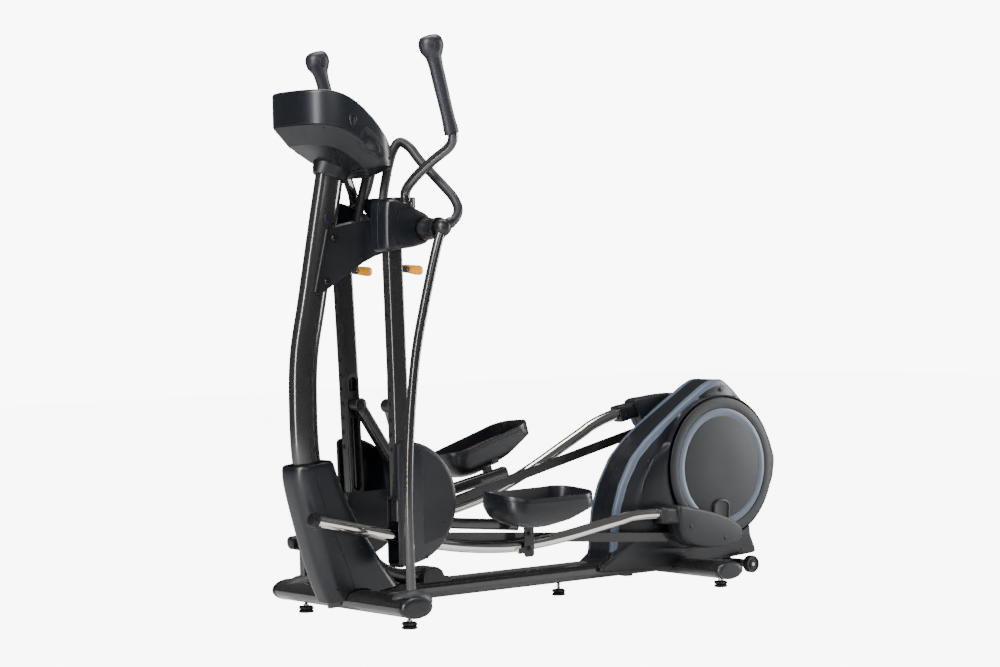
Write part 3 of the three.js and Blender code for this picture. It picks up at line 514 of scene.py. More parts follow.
pair(collar, "fixed_bar_collar", PLASTIC_DEEP, "frame", "dark_coating", bevel=1)

TRAY_X = 166
outer, inner = rounded(TRAY_X, 0, 96, 176, 26, 8), rounded(TRAY_X, 0, 88, 168, 22, 8)


def tray_ring(outline, z, scale=1.0):
    return [(TRAY_X + (x - TRAY_X) * scale, y * scale, z) for x, y in outline]


dress(loft([tray_ring(outer, 1222, 0.7), tray_ring(outer, 1226, 0.76), tray_ring(outer, 1246, 0.96),
            tray_ring(outer, 1256), tray_ring(outer, 1285), tray_ring(outer, 1286, 0.992),
            tray_ring(inner, 1286), tray_ring(inner, 1260), tray_ring(inner, 1256, 0.97)]),
      "tray_bin", PLASTIC, nodes=["tray"], angle=50)


# ---- console

def console_ring(cx, front, rear, half, height):
    """Blunt-nosed plan outline, with its height given by x."""
    ring = []
    for i in range(96):
        c, s = math.cos(2 * math.pi * i / 96), math.sin(2 * math.pi * i / 96)
        power = 2 / 2.8 if c < 0 else 0.5
        x = cx + math.copysign(abs(c) ** power, c) * (front if c < 0 else rear)
        ring.append((x, math.copysign(abs(s) ** power, s) * half, height(x)))
    return ring


def sagging(top, amount, start, end):
    """Height that starts level at top and falls ever faster from x = start to end."""
    return lambda x: top - amount * max(0, min(x, end) - start) ** 2


display_top = sagging(1603, 0.0028, -170, 200)
seam_height = sagging(1499, 0.0025, -180, 44)
UNDER = console_ring(-52, 118, 100, 104, sagging(1442, 0.0026, -165, 28))
BASE = console_ring(-38, 62, 58, 50, lambda x: 1374 - 0.4 * (x + 38))


def display_ring(scale, drop):
    return console_ring(-30, 178 * scale, 134 * scale, 158 * scale, lambda x: display_top(x) - drop)


def seam_ring(grow, lift=0):
    return console_ring(-30, 178 + grow, 138 + grow, 158 + grow, lambda x: seam_height(x) + lift)


def between(a, b, t, lift=0.0):
    return [tuple(p + (q - p) * t + up for p, q, up in zip(u, v, (0, 0, lift))) for u, v in zip(a, b)]


def under_ring(t, lift=0.0):
    return between(seam_ring(0), UNDER, t, lift)


def to_base(t):
    return between(UNDER, BASE, t)


upper = loft([display_ring(*s) for s in (
    (0.2, 9), (0.5, 9), (0.86, 9), (0.862, 1), (0.872, 0), (0.95, 0), (0.972, 0.8), (0.988, 3), (0.997, 6),
    (1, 11))] + [seam_ring(*s) for s in (
        (0, 14), (0, 2.4), (-1.2, 1.2), (-5, 1.2), (-30, 1.2), (-80, 1.2))])
lower = loft([seam_ring(grow, -0.4) for grow in (-80, -5, -1.2)] + [under_ring(*s) for s in (
    (0.02,), (0.1,), (0.3,), (0.55,), (0.8,), (0.93, 0.4), (0.985, 0.3))] +
             [to_base(t) for t in (0.0, 0.03, 0.1, 0.3, 0.6, 0.9)] + [BASE])
cut(lower, column(0.4, 40))
dress(upper, "upper", PLASTIC, nodes=["console_housing"], bevel=0.8, segments=2, angle=28)
dress(lower, "lower", PLASTIC, angle=28)
GLASS_DROP = 3.2         # the display lies this far below the console's rim
dress(loft([display_ring(*s) for s in (
    (0.2, GLASS_DROP), (0.5, GLASS_DROP), (0.84, GLASS_DROP), (0.853, 5), (0.853, 8.2), (0.5, 8.2),
    (0.2, 8.2))]),
      "console_glass", KEYS, "frame", "screen", ["console_panel"], angle=40)


def on_display(name, x, y, w, h, r, rise, mat, slot="plastic"):
    """A rounded tile lying on the curved display, w across the user and h along x."""
    rings = []
    for scale, up in ((1, 0), (1, rise * 0.6), (0.96, rise)):
        rings.append([(x + u * scale, y + v * scale, display_top(x + u * scale) - GLASS_DROP + up)
                      for u, v in rounded(0, 0, h, w, r, 8)])
    dress(loft(rings), name, mat, "frame", slot, angle=50)


on_display("screen_window", -92, 0, 178, 66, 9, 1.2, SCREEN, "screen")
on_display("screen_bezel", -92, 0, 190, 78, 13, 0.6, PLASTIC_DEEP)
for row in range(2):
    for col in range(5):
        on_display(f"key_{row}_{col}", -24 + 26 * row, -72 + 36 * col, 26, 15, 6, 2.2, SADDLE)
on_display("start_key", 46, -34, 44, 20, 9, 2.4, AMBER, "yellow")
on_display("stop_key", 46, 34, 44, 20, 9, 2.4, GRIP)
for s, word in SIDES:
    for i in range(6):
        on_display(f"speaker_{word}_{i}", -60 + 15 * i, s * 118, 20, 4, 1.9, 0.8, PLASTIC_DEEP)

# Both shells as one surface, on which the side's details are placed.
skin_points, skin_faces = [], []
for part in (upper, lower):
    start = len(skin_points)
    skin_points += [v.co.copy() for v in part.data.vertices]
    skin_faces += [tuple(start + i for i in f.vertices) for f in part.data.polygons]
skin = BVHTree.FromPolygons(skin_points, skin_faces)


def on_side(x, z, out):
    """Point on the console's left side at (x, z), moved outwards."""
    hit = skin.ray_cast(Vector(metres(x, -400, z)), Vector((0, 1, 0)))[0]
    return x, hit.y * 1000 - out, z


def side_patch(name, outline, steps, mat):
    """Raised or framed area following the console's side; steps are (scale, height)."""
    cx, cz = np.mean(outline, axis=0)
    rings = [[on_side(cx + (x - cx) * k, cz + (z - cz) * k, out) for x, z in outline] for k, out in steps]
    pair(loft(rings), name, mat, angle=35)


ACCESS = curve([(-30, 1492), (-12, 1484), (14, 1462), (34, 1432), (42, 1412), (36, 1398), (24, 1394),
                (0, 1408), (-30, 1424), (-54, 1442), (-56, 1454), (-44, 1478)], 64, True)
LATCH = curve([(-84, 1530), (-74, 1533), (-64, 1526), (-62, 1512), (-68, 1500), (-78, 1490), (-84, 1500),
               (-87, 1516)], 40, True)
HATCH = curve([(-24, 1462), (4, 1450), (20, 1426), (18, 1416), (2, 1416), (-26, 1432), (-34, 1444)], 48, True)
side_patch("access_panel", ACCESS, ((1, -1), (1, 0.9), (0.97, 1.5), (0.9, 1.5)), MATT)
side_patch("access_hatch", HATCH, ((1, 0), (1, 2.3), (0.95, 2.9), (0.8, 2.9)), PLASTIC)
side_patch("latch_frame", LATCH, ((1, -1), (1, 1.6), (0.92, 2.0), (0.74, 1.2), (0.7, -0.4)), PLASTIC_DEEP)
side_patch("latch_button", LATCH, ((0.5, -1), (0.5, 1.6), (0.42, 2.2), (0.2, 2.3)), BLACKHW)
for i, (x, z, out) in enumerate(((-34, 1478, 1.4), (26, 1408, 1.4), (-158, 1490, 0.0), (60, 1400, 0.0))):
    screw(f"console_screw_{i}", on_side(x, z, out), -1, 4.2)
for side, word in ((1, "near"), (-1, "far")):
    for i in range(8):
        k = (64 + 3 * i) if side > 0 else (32 - 3 * i)
        a, b = np.array(to_base(0.12)[k]), np.array(to_base(0.86)[k])
        along = np.array(to_base(0.5)[k + 1]) - np.array(to_base(0.5)[k])
        along = along / np.linalg.norm(along) * 1.7
        out = np.cross(along, b - a)
        out = out / np.linalg.norm(out) * -math.copysign(3.2, out[2])
        base = [a - along, a + along, b + along, b - along]
        fin = build([p - out * 0.4 for p in base] + [p + out for p in base],
                    [(0, 1, 2, 3), (4, 5, 6, 7), (0, 1, 5, 4), (1, 2, 6, 5), (2, 3, 7, 6), (3, 0, 4, 7)])
        dress(fin, f"vent_fin_{word}_{i}", PLASTIC_DEEP, bevel=0.6, segments=2)

rings = []
for x, z, a, b in ((-58, 1346, 51, 35), (-58, 1348, 52.6, 36.6), (-56, 1352, 53.6, 38), (-51, 1364, 57, 42),
                   (-44, 1376, 61, 47), (-38, 1384, 65, 51), (-37, 1386, 64, 50)):
    rings.append([(x + u, w, z - 0.33 * u) for u, w in ellipse(0, 0, a, b, 64)])
collar = cut(loft(rings), column(0.4, 60))
dress(collar, "console_neck", PLASTIC_DEEP, nodes=["console_collar"], angle=30)

# ---- drive housing

HOUSING = [(938, 66), (942, 86), (980, 104), (990, 128), (1005, 260), (1036, 345), (1089, 430),
           (1150, 485), (1217, 532), (1320, 596), (1422, 656), (1462, 674), (1500, 676), (1545, 644),
           (1590, 602), (1669, 528), (1722, 463), (1746, 393), (1735, 324), (1690, 248), (1616, 171),
           (1564, 122), (1590, 112), (1640, 92), (1644, 74), (1249, 50)]


def fine_outline(points, steps):
    """Rounds the corners of a closed outline a little and divides it evenly."""
    out = []
    n = len(points)
    for i in range(n):
        a, b, c = (np.array(points[(i + k) % n], float) for k in (-1, 0, 1))
        la, lc = np.linalg.norm(a - b), np.linalg.norm(c - b)
        ra, rc = min(0.32 * la, 15), min(0.32 * lc, 15)
        p, q = b + (a - b) / la * ra, b + (c - b) / lc * rc
        for t in np.linspace(0, 1, 7):
            out.append((1 - t) ** 2 * p + 2 * t * (1 - t) * b + t * t * q)
    out = np.array(out + [out[0]])
    s = np.concatenate([[0], np.cumsum(np.linalg.norm(np.diff(out, axis=0), axis=1))])
    at = np.linspace(0, s[-1], steps, endpoint=False)
    return [(np.interp(v, s, out[:, 0]), np.interp(v, s, out[:, 1])) for v in at]


SKIN = fine_outline(HOUSING, 420)


def drawn_in(point, y, inset, recess=0.0):
    """Point moved towards the crank by inset, but never nearer to it than recess."""
    dx, dz = point[0] - CRANK[0], point[1] - CRANK[1]
    reach = math.hypot(dx, dz)
    share = max(recess, reach - inset) / reach
    return CRANK[0] + dx * share, y, CRANK[1] + dz * share


def skin_ring(y, *inset):
    return [drawn_in(point, y, *inset) for point in SKIN]


def mix(a, b, t, y):
    return [(p[0] + (q[0] - p[0]) * t, y, p[2] + (q[2] - p[2]) * t) for p, q in zip(a, b)]


EDGE, SHELF, RIM = skin_ring(-66, 13), skin_ring(-72, 60, 244), skin_ring(-90, 700, 244)
rings = [skin_ring(*s) for s in (
    (-0.3, 0), (-30, 0), (-44, 0), (-45, 1.4), (-46.4, 1.4), (-47.4, 0), (-57, 0.2), (-60, 1.6), (-63.5, 6))]
rings += [EDGE] + [mix(EDGE, SHELF, t, y) for t, y in ((0.1, -66.4), (0.45, -69), (0.9, -71.6))]
rings += [mix(SHELF, RIM, t, y) for t, y in (
    (0.02, -72.6), (0.18, -76), (0.24, -75.4), (0.30, -78), (0.55, -83.4), (0.8, -88), (0.93, -89.8))]
rings += [RIM] + [skin_ring(*s) for s in (
    (-90, 700, 240.6), (-84, 700, 238), (-82, 700, 230), (-82, 700, 20), (-77, 700, 20),
    (-77, 700, 228), (-68, 66, 236), (-59, 18), (-53, 5), (-0.3, 5))]
half = loft(rings, closed=True)
pair(half, "housing", PLASTIC, nodes=["housing_side"], angle=24)
# Dark flat ring on the housing wall just behind the disc's edge: painted shadow in the gap between disc and
# rim.
disc_gap_shadow = lathe([(229, -82.4), (236.5, -82.4), (236.5, -83.2), (229, -83.2)], CRANK, "Y", 96)
pair(disc_gap_shadow, "disc_shadow_ring", PLASTIC_DEEP)


def nearest(point):
    return min(range(len(SKIN)), key=lambda i: math.dist(SKIN[i], point))


# Blue-grey stripe lying along the near edge of the band, from the toe up and over the top; its widening over
# the front top is painted highlight.
stations = range(nearest((990, 128)), nearest((1722, 463)) + 1)
verts, faces = [], []
for k, i in enumerate(stations):
    share = k / (len(stations) - 1)
    # The bump in width over the front top is painted highlight where that slope faces the lamps; the rest is
    # the stripe's own colour.
    width = 9 + 12 * math.exp(-((share - 0.62) / 0.16) ** 2) - 7.6 * max(0, (share - 0.85) / 0.15)
    profile = [(-57 + width - 0.2, 0.25), (-57 + width, -0.5), (-57, -0.45), (-60.2, 1.0), (-63.6, 5.4),
               (-66.5, 12.9), (-67.4, 22), (-67.2, 22.4), (-66.0, 13.6)]
    across = len(profile)
    verts += [drawn_in(SKIN[i], y, inset) for y, inset in profile]
    if k:
        row = (k - 1) * across
        faces += [(a, a + 1, a + across + 1, a + across) for a in range(row, row + across - 1)]
pair(build(verts, faces), "housing_stripe_and_sheen", STRIPE, angle=60)
for i, (x, z) in enumerate(((1146, 415), (1484, 640), (1722, 374), (1003, 112), (1501, 110), (1572, 90))):
    screw(f"housing_screw_{i}", (x, -71.4 if i < 2 else -66.6, z), -1, 6.5 if i < 3 else 5)

# ---- crank discs and drive train

disc = lathe([(0.01, 0), (222, 0), (232, 1.5), (234, 4), (233, 6.6), (230, 8), (202, 8.3),
              (199.5, 7.6), (198, 6.2), (173.5, 6.2), (172, 7.6), (169, 8.3), (40, 8.3),
              (0.01, 8.3)],
             CRANK, "Y", 128)
for v in disc.data.vertices:
    v.co.y = -0.092 - v.co.y
pair(disc, "disc", MATT, "crank", nodes=["crank_disc"], angle=30)
ring = lathe([(174.2, -98.1), (197.4, -98.1), (197.4, -99.3), (196.6, -99.7), (175, -99.7),
              (174.2, -99.3)], CRANK, "Y", 128)
pair(ring, "disc_ring", STRIPE, "crank", angle=40)


def about_crank(points, angle):
    c, s = math.cos(rad(angle)), math.sin(rad(angle))
    return [(CRANK[0] + u * c - w * s, CRANK[1] + u * s + w * c) for u, w in points]


def boss_outline(inset):
    return (ellipse(193, 0, 36 - inset, 36 - inset, 20, -90, 180) +
            ellipse(130, 0, 22 - inset, 36 - inset, 16, 90, 180))


pair(loft([[(x, y, z) for x, z in about_crank(boss_outline(inset), LEFT_PIN)] for y, inset in (
    (-98, 0), (-105, 0), (-107, 1), (-107.8, 3), (-107.8, 5), (-104, 6.4), (-103.4, 9))]),
     "pin_boss", PLASTIC_DEEP, "crank", angle=30)
bush = turned([(18, -100), (18, -105.6), (16.5, -106.6), (11, -106.6), (10, -105)],
              about_crank([(207, 0)], LEFT_PIN)[0], "Y", 40)
pair(bush, "pin_bush", ZINC, "crank")
dress(turned([(12, -99), (13, -98), (13, 98), (12, 99)], CRANK, "Y", 40),
      "axle", IRON, "crank", "iron", ["crank_axle"])
pulley = lathe([(14, 12), (30, 12), (30, 17), (96, 19), (98, 12), (112, 12), (112, 14), (109, 15),
                (109, 29), (112, 30), (112, 32), (98, 32), (96, 25), (30, 27), (30, 32), (14, 32)],
               CRANK, "Y", 96)
for a in range(0, 360, 72):
    px, pz = CRANK[0] + 62 * math.cos(rad(a)), CRANK[1] + 62 * math.sin(rad(a))
    cut(pulley, slab(ellipse(px, pz, 24, 24, 32), 0, 40))
dress(pulley, "pulley", IRON, "crank", "iron", ["drive_pulley"])
GROOVES = [(26.5 - 1.6 * (i % 2), 17 + i) for i in range(12)]
fly = turned([(8, -46), (8, -25), (26, -25), (28, -16), (96, -16), (100, -24), (136, -24), (138, -22),
              (138, 2), (136, 4), (100, 4), (96, -4), (30, -4), (28, 4), (28, 15), (25, 16)] +
             GROOVES + [(28, 30), (28, 32), (8, 32), (8, 46)], (1190, 292), "Y", 96)
dress(fly, "fly", IRON, "flywheel", "iron", ["flywheel"])

# ---- swing arms

ARM = [(74, 1214), (75, 1110), (83, 750), (87, 370), (87.5, 306)]
HOLES = [1018 - 45 * i for i in range(12)]      # heights of the holes down the front of the arm
SLOT = (400, 722)


def arm_x(z):
    return 75 + (1110 - z) * 8 / 360 if z > 750 else 83 + (750 - z) * 4 / 380


def arm_loft(line, w, d, r):
    return loft([[(x + u, y, z) for u, y in rounded(0, -ARM_Y, w, d, r, 8)] for x, z in line])


def strap(z0, z1, half, y0, y1):
    """Round-ended bar along the arm between two heights."""
    return slab(ellipse(arm_x(z1), z1, half, half, 15, 0, 180) +
                ellipse(arm_x(z0), z0, half, half, 15, 180, 180), y0, y1)


def slot_cutter():
    return strap(*SLOT, 16, -105, -122)


arm = arm_loft(ARM, 56, 42, 11)
cut(arm, arm_loft([(arm_x(z), z) for z in (1050, 750, 370, 330)], 48, 34, 8))
cut(arm, slot_cutter())
for z in HOLES:
    cut(arm, turned([(5.5, -8), (5.5, 8)], (arm_x(z) - 28, -ARM_Y, z), "X", 24))
bore(arm, HUB, 18.4, -160, -108)
pair(arm, "swing_bar", PAINT, "swing_arm", "steel", ["arm"], angle=40)
pair(cut(strap(SLOT[0] - 7, SLOT[1] + 7, 22, -110.8, -113.4), slot_cutter()), "slot_frame",
     PLASTIC_DEEP, "swing_arm", "steel", bevel=0.8)
for i, z in enumerate(HOLES):
    lip = lathe([(5.4, 3), (5.4, -0.6), (6.6, -1.0), (7.4, -0.5), (7.6, 0.4)],
                (arm_x(z) - 28, -ARM_Y, z), "X", 28)
    pair(lip, f"hole_lip_{i}", BLACKHW, "swing_arm", "steel")
head = lathe([(18.4, -113), (30, -113), (31, -114), (31, -154), (30, -155), (18.4, -155)], HUB, "Y", 56)
pair(head, "head_barrel", PAINT_DARK, "swing_arm", "steel")
LEVER_PIN = (118, 1066)
for n, (a, b) in enumerate(((-152, -148.2), (-119.8, -116))):
    ear = slab([(100, 1057), (118, 1057)] + ellipse(*LEVER_PIN, 9, 9, 10, -80, 160) +
               [(118, 1075), (100, 1075)], a, b)
    pair(ear, f"hinge_ear_{n}", PLASTIC_DEEP, "swing_arm", "steel", bevel=0.6)

COVER = curve([(26, 1270), (40, 1277), (70, 1275), (104, 1262), (152, 1243), (182, 1228), (198, 1200),
               (194, 1166), (178, 1146), (136, 1133), (79, 1126), (34, 1120), (22, 1128), (18, 1190)],
              160, True)


def inset_rings(points, stations):
    """Closed outline drawn inwards by d at each (y, d) station."""
    shift = list(zip(points[-1:] + points[:-1], points))
    wind = math.copysign(1, sum(a[0] * b[1] - b[0] * a[1] for a, b in shift))
    normals = []
    for i in range(len(points)):
        t = np.subtract(points[(i + 1) % len(points)], points[i - 1])
        t = t / np.linalg.norm(t) * wind
        normals.append((-t[1], t[0]))
    return [[(x + d * u, y, z + d * w) for (x, z), (u, w) in zip(points, normals)] for y, d in stations]


shell = loft(inset_rings(COVER, (
    (-102, 5), (-103.5, 2), (-107, 0.4), (-112, 0), (-140, 0), (-141, 1.2), (-142.6, 1.2), (-143.6, 0),
    (-166, 0), (-174, 1.4), (-180, 4), (-184, 8), (-186, 14))))
cut(shell, box(45.4, 103.2, -155.6, -112.4, 1000, 1215))
bore(shell, HUB, 34.6, -200, -80, 64)
cut(shell, pipe([(131, -134, 1200), (131, -134, 1240), (131, -134, 1300)], 15.6, 12))
pair(shell, "hub_shell", PLASTIC, "swing_arm", nodes=["hub_cover"], angle=26)
panel = curve([(64, 1140), (60, 1180), (60, 1222), (74, 1246), (104, 1244), (150, 1226), (178, 1214),
               (188, 1196), (184, 1172), (170, 1154), (132, 1142), (90, 1136)], 90, True)
panel = cut(slab(panel, -185.4, -188.2), slab(ellipse(*HUB, 36, 36, 48), -200, -150))
pair(panel, "hub_shell_panel", PLASTIC, "swing_arm", bevel=1.6, angle=40)
socket = lathe([(15.4, 0), (21, 0), (22, 2), (21.4, 9), (19, 14), (17.4, 15), (15.4, 15)],
               (131, -134, 1257), "Z", 48)
pair(socket, "bar_socket", PLASTIC, "swing_arm", angle=40)
for i, (x, z, y) in enumerate(((60, 1160, -185.4), (60, 1240, -185.4), (70, 1150, -102.8))):
    screw(f"cover_screw_{i}", (x, y, z), -1 if i < 2 else 1, 6, "swing_arm")

MOVING = [(131, -134, 1219), (131, -134, 1262), (129, -136, 1300), (140, -172, 1342), (168, -225, 1390),
          (197, -278, 1436), (196, -290, 1466), (186, -290, 1500)]
pair(pipe(MOVING, 15, 120, 36), "moving_bar", PAINT, "swing_arm", "dark_coating", ["moving_handlebar"])

GRIP_FOOT = (193, -290, 1466)
LEAN = math.degrees(math.atan2(80, 295))
SQUASH = 0.84            # grips are this much narrower across the machine
GRIP_LINE = curve([(17, 0), (20, 2), (22.6, 5), (23.6, 12), (23.4, 22), (22.2, 34), (21.4, 60), (21.4, 100),
                   (22.5, 140), (22.8, 185), (23, 210), (26, 235), (31.5, 246), (36, 255), (39.4, 265),
                   (40, 273), (38.4, 285), (33, 295), (24, 301), (10, 303.4), (0.01, 303.6)], 110)


def grip_part(ob, stem, mat):
    """Squashes an upright part of the grip, leans it back and dresses it with its twin."""
    for v in ob.data.vertices:
        x, z = turn((v.co.x * 1000 + MID, v.co.z * 1000), LEAN, GRIP_FOOT[::2])
        v.co = ((x - MID) / 1000, -0.29 + (v.co.y + 0.29) * SQUASH, z / 1000)
    pair(ob, stem, mat, "swing_arm", "dark_coating", angle=60)


grip_part(lathe([(0, 0)] + GRIP_LINE, GRIP_FOOT, "Z", 64), "grip", GRIP)
grip_part(lathe([(20.5, 1), (23.2, 1.6), (24.2, 5), (23.6, 8.4), (20.5, 9)], GRIP_FOOT, "Z", 64),
          "grip_band", PLASTIC_DEEP)
for i, (ux, uy) in enumerate(((-1, 0), (0, -1), (0, 1))):
    inset = loft([[(GRIP_FOOT[0] + ux * out - uy * a * scale, GRIP_FOOT[1] + uy * out + ux * a * scale,
                    GRIP_FOOT[2] + 268 + w * scale) for a, w in ellipse(0, 0, 12, 17, 32)]
                  for scale, out in ((1.0, 31), (1.0, 38.2), (0.86, 39.8), (0.5, 40.4))])
    grip_part(inset, f"grip_inset_{i}", MATT)


def boxy(t):
    """Cosine-like wave with a flatter top, for a section between an ellipse and a box."""
    return math.copysign(abs(t) ** 0.8, t)


blade = loft([[(x, -ARM_Y + half_y * boxy(math.cos(a)), 1068 + drop + half_z * boxy(math.sin(a)))
               for a in np.linspace(0, 2 * math.pi, 32, endpoint=False)]
              for x, half_y, half_z, drop in (
    (109, 8, 10.5, 0), (118, 10.5, 12, 0), (132, 11.5, 13, -1), (148, 13, 14, -3), (164, 14.5, 15, -5),
    (176, 14, 15, -6), (182, 11, 12.5, -6), (185.4, 7, 8, -6), (186, 2, 2, -6))])
pair(blade, "lever_blade", AMBER, "lever", "yellow", ["stride_lever"], angle=40)
pair(lathe([(2.2, -147), (7.4, -147), (8, -146.4), (8, -121.6), (7.4, -121), (2.2, -121)],
           LEVER_PIN, "Y", 32), "lever_barrel", AMBER, "lever", "yellow", angle=40)
pair(lathe([(0.01, -153.4), (4, -153.2), (4, -152), (1.8, -152), (1.8, -116), (4, -116), (4, -114.6),
            (0.01, -114.4)], LEVER_PIN, "Y", 24), "lever_pin", ZINC, "swing_arm", "steel")

slide = loft([[(arm_x(z) + x, y, z) for x, y in rounded(0, -ARM_Y, 46.8 - g, 32.8 - g, 7, 6)]
              for z, g in [(PIVOT[1] + dz, 3 if abs(dz) > 40 else 0) for dz in (-42, -40, 40, 42)]])
bore(slide, PIVOT, 8.4, -128, -100)
pair(slide, "slide_block", PLASTIC_DEEP, "slider", "iron", ["stride_slider"], angle=40)
pair(lathe([(8.4, -118), (14, -118), (14, -110.2), (13.2, -109.6), (8.4, -109.6)], PIVOT, "Y", 40),
     "slide_boss", IRON, "slider", "iron")
pair(turned([(7, -127), (8, -126), (8, -70.5), (14, -70.5), (14, -66), (11, -64.2), (6, -64), (5, -66)],
            PIVOT, "Y", 40), "joint_pin", BLACKHW, "slider", "iron", ["link_pin"])

# ---- guard round the rail guide

GX, GZ, GR = 84, 361, 186
GUARD_FOOT = 168


def guard_ring(y, inset):
    """Half disc behind a straight front edge, with a rounded top corner and a chamfered foot."""
    r, x0, z0 = GR - inset, GX - 33 + inset, GUARD_FOOT + inset
    back = ellipse(GX, GZ, r, r, 90, -90, 180)
    corner = ellipse(x0 + 14, GZ + r - 14, 14, 14, 6, 90, 90)
    return [(x, y, z) for x, z in back + corner + [(x0, z0 + 10), (x0 + 3, z0 + 3), (x0 + 10, z0)]]


guard = loft([guard_ring(y, d) for y, d in (
    (-110.4, 3), (-112, 1), (-115, 0), (-166, 0), (-171, 1.4), (-174.4, 4.6), (-176, 9))])
cut(guard, loft([guard_ring(y, 6) for y in (-117, -170)]))
cut(guard, box(20, 80, -168, -118.5, 180, 372))
cut(guard, slab([(120, 232), (300, 70), (300, 400), (120, 278)], -168, -116))
cut(guard, box(-30, 190, -156.8, -109, 380, 620))
cut(guard, arm_loft([(87, 700), (87.5, 300)], 57, 43.5, 12))
pair(guard, "guard_shell", PLASTIC, "swing_arm", nodes=["guard"], angle=26)
mouth_rim = loft([[(51 - out, -143.2 + y, 276 + z) for y, z in rounded(0, 0, w, h, r, 6)]
                  for out, w, h, r in ((-0.5, 60, 203, 12), (1.8, 60, 203, 12), (2.6, 58, 201, 11),
                                       (2.6, 53, 196, 9), (1.8, 51, 194, 8), (-0.5, 51, 194, 8))],
                 closed=True)
pair(mouth_rim, "guard_mouth_rim", PLASTIC_DEEP, "swing_arm", angle=40)
for i, (x, z) in enumerate(((128, 512), (216, 430), (216, 292), (150, 194))):
    screw(f"guard_screw_{i}", (x, -175.4, z), -1, 5.5, "swing_arm")
face = ellipse(GX, GZ, 172, 172, 60, -40, 112) + [(GX + 56, GZ + 150), (GX + 56, GZ - 128)]
pair(slab(face, -175.2, -176.6), "guard_face_panel", PLASTIC, "swing_arm",
     bevel=0.8, angle=40)

# ---- link and pedal

LINK = [(89, 641), (150, 447), (186, 342), (202, 308), (236, 292), (313, 279), (420, 268), (560, 254)]
bar = sweep(LINK, rounded(0, 0, 34, 36, 9, 8), 110, -LINK_Y)
bore(bar, PIVOT, 20, -130, -60)
pair(bar, "link_tube", PAINT, "pedal_unit", "steel", ["link"], angle=40)
pair(lathe([(8.4, -108.8), (19.6, -108.8), (21, -107.6), (21, -72.2), (19.6, -71), (8.4, -71)],
           PIVOT, "Y", 48), "link_barrel", PLASTIC_DEEP, "pedal_unit", "steel")
pair(loft([[(560 + out, -LINK_Y + y * s, 254.4 + z * s - 0.11 * out)
            for z, y in rounded(0, 0, 34, 36, 9, 6)]
           for out, s in ((-1, 1.03), (3, 1.03), (5, 0.94), (5.6, 0.8))]),
     "link_cap", PLASTIC_DEEP, "pedal_unit", "steel", angle=40)

SOLE = 322               # height of the tread at the middle of the pedal
TOP = 359                # height of the rim there
# Height, slope along x, front, rear, inner and outer side, and corner radius.
PEDAL = [(268, 0, 452, 560, -140, -280, 40), (286, 0, 420, 640, -116, -296, 40),
         (SOLE, -0.01, 397, 736, -109, -300, 46), (TOP, -0.012, 393, 745, -102, -301, 50)]
ACROSS = 0.075           # slope of the pedal across the machine


def pedal_ring(z, inset=0.0, lift=0.0):
    heights = [p[0] for p in PEDAL]
    slope, x0, x1, y0, y1, r = (float(np.interp(z, heights, [p[k] for p in PEDAL])) for k in range(1, 7))
    rise = max(0, (z - SOLE) / (TOP - SOLE))
    r = max(r + 22 * rise - inset, 8)

    def rim(x):
        """The wall is high at both ends and dips beside the foot."""
        return 8.5 * rise * math.cos(2 * math.pi * min(max((x - 393) / 352, 0), 1) ** 0.8)

    return [(x, y, z + rim(x) + lift + slope * (x - 570) + ACROSS * (y + 200)) for x, y in
            rounded((x0 + x1) / 2, (y0 + y1) / 2, x1 - x0 - 2 * inset, y0 - y1 - 2 * inset, r, 12)]


tray = loft([pedal_ring(*s) for s in (
    (268, 14), (268, 4), (270.5, 0.6), (278, -0.6), (286, 0), (298, -2), (312, -1.6), (SOLE, 0), (340, 0.2),
    (345, 0), (346, 1.1), (348, 1.1), (349, -0.2), (355, 0.2), (358, 1.2), (TOP, 3.2), (TOP, 7.4), (358, 9.2),
    (354, 10), (324, 12), (SOLE, 15))])
cut(tray, sweep(LINK, rounded(0, 0, 34.8, 36.8, 9, 6), 80, -LINK_Y))
pair(tray, "pedal_tray", PLASTIC, "pedal_unit", nodes=["pedal"], angle=32)
pair(loft([pedal_ring(SOLE, *s) for s in ((16, 0.1), (15.4, 1.6), (16.4, 3.2), (19, 3.8))]),
     "pedal_mat", TREAD, "pedal_unit", angle=40)

HEXAGON = [(1, 0), (0.6, 0.8), (-0.6, 0.8), (-1, 0), (-0.6, -0.8), (0.6, -0.8)]
verts, faces = [], []
for row in range(15):
    for col in range(7):
        x, y = 428 + 20.4 * row, -139 - 21 * col
        h = SOLE + 3.6 - 0.01 * (x - 570) + ACROSS * (y + 200)
        base = len(verts)
        for s, up in ((1, -0.6), (1, 1.6), (0.72, 2.6)):
            verts += [(x + 6.4 * s * u, y + 8.6 * s * v, h + up) for u, v in HEXAGON]
        for a in (base, base + 6):
            faces += [(a + i, a + (i + 1) % 6, a + 6 + (i + 1) % 6, a + 6 + i) for i in range(6)]
        faces.append(tuple(range(base + 12, base + 18)))
        faces.append(tuple(range(base, base + 6))[::-1])
pair(build(verts, faces), "tread_studs", TREAD, "pedal_unit", angle=30)

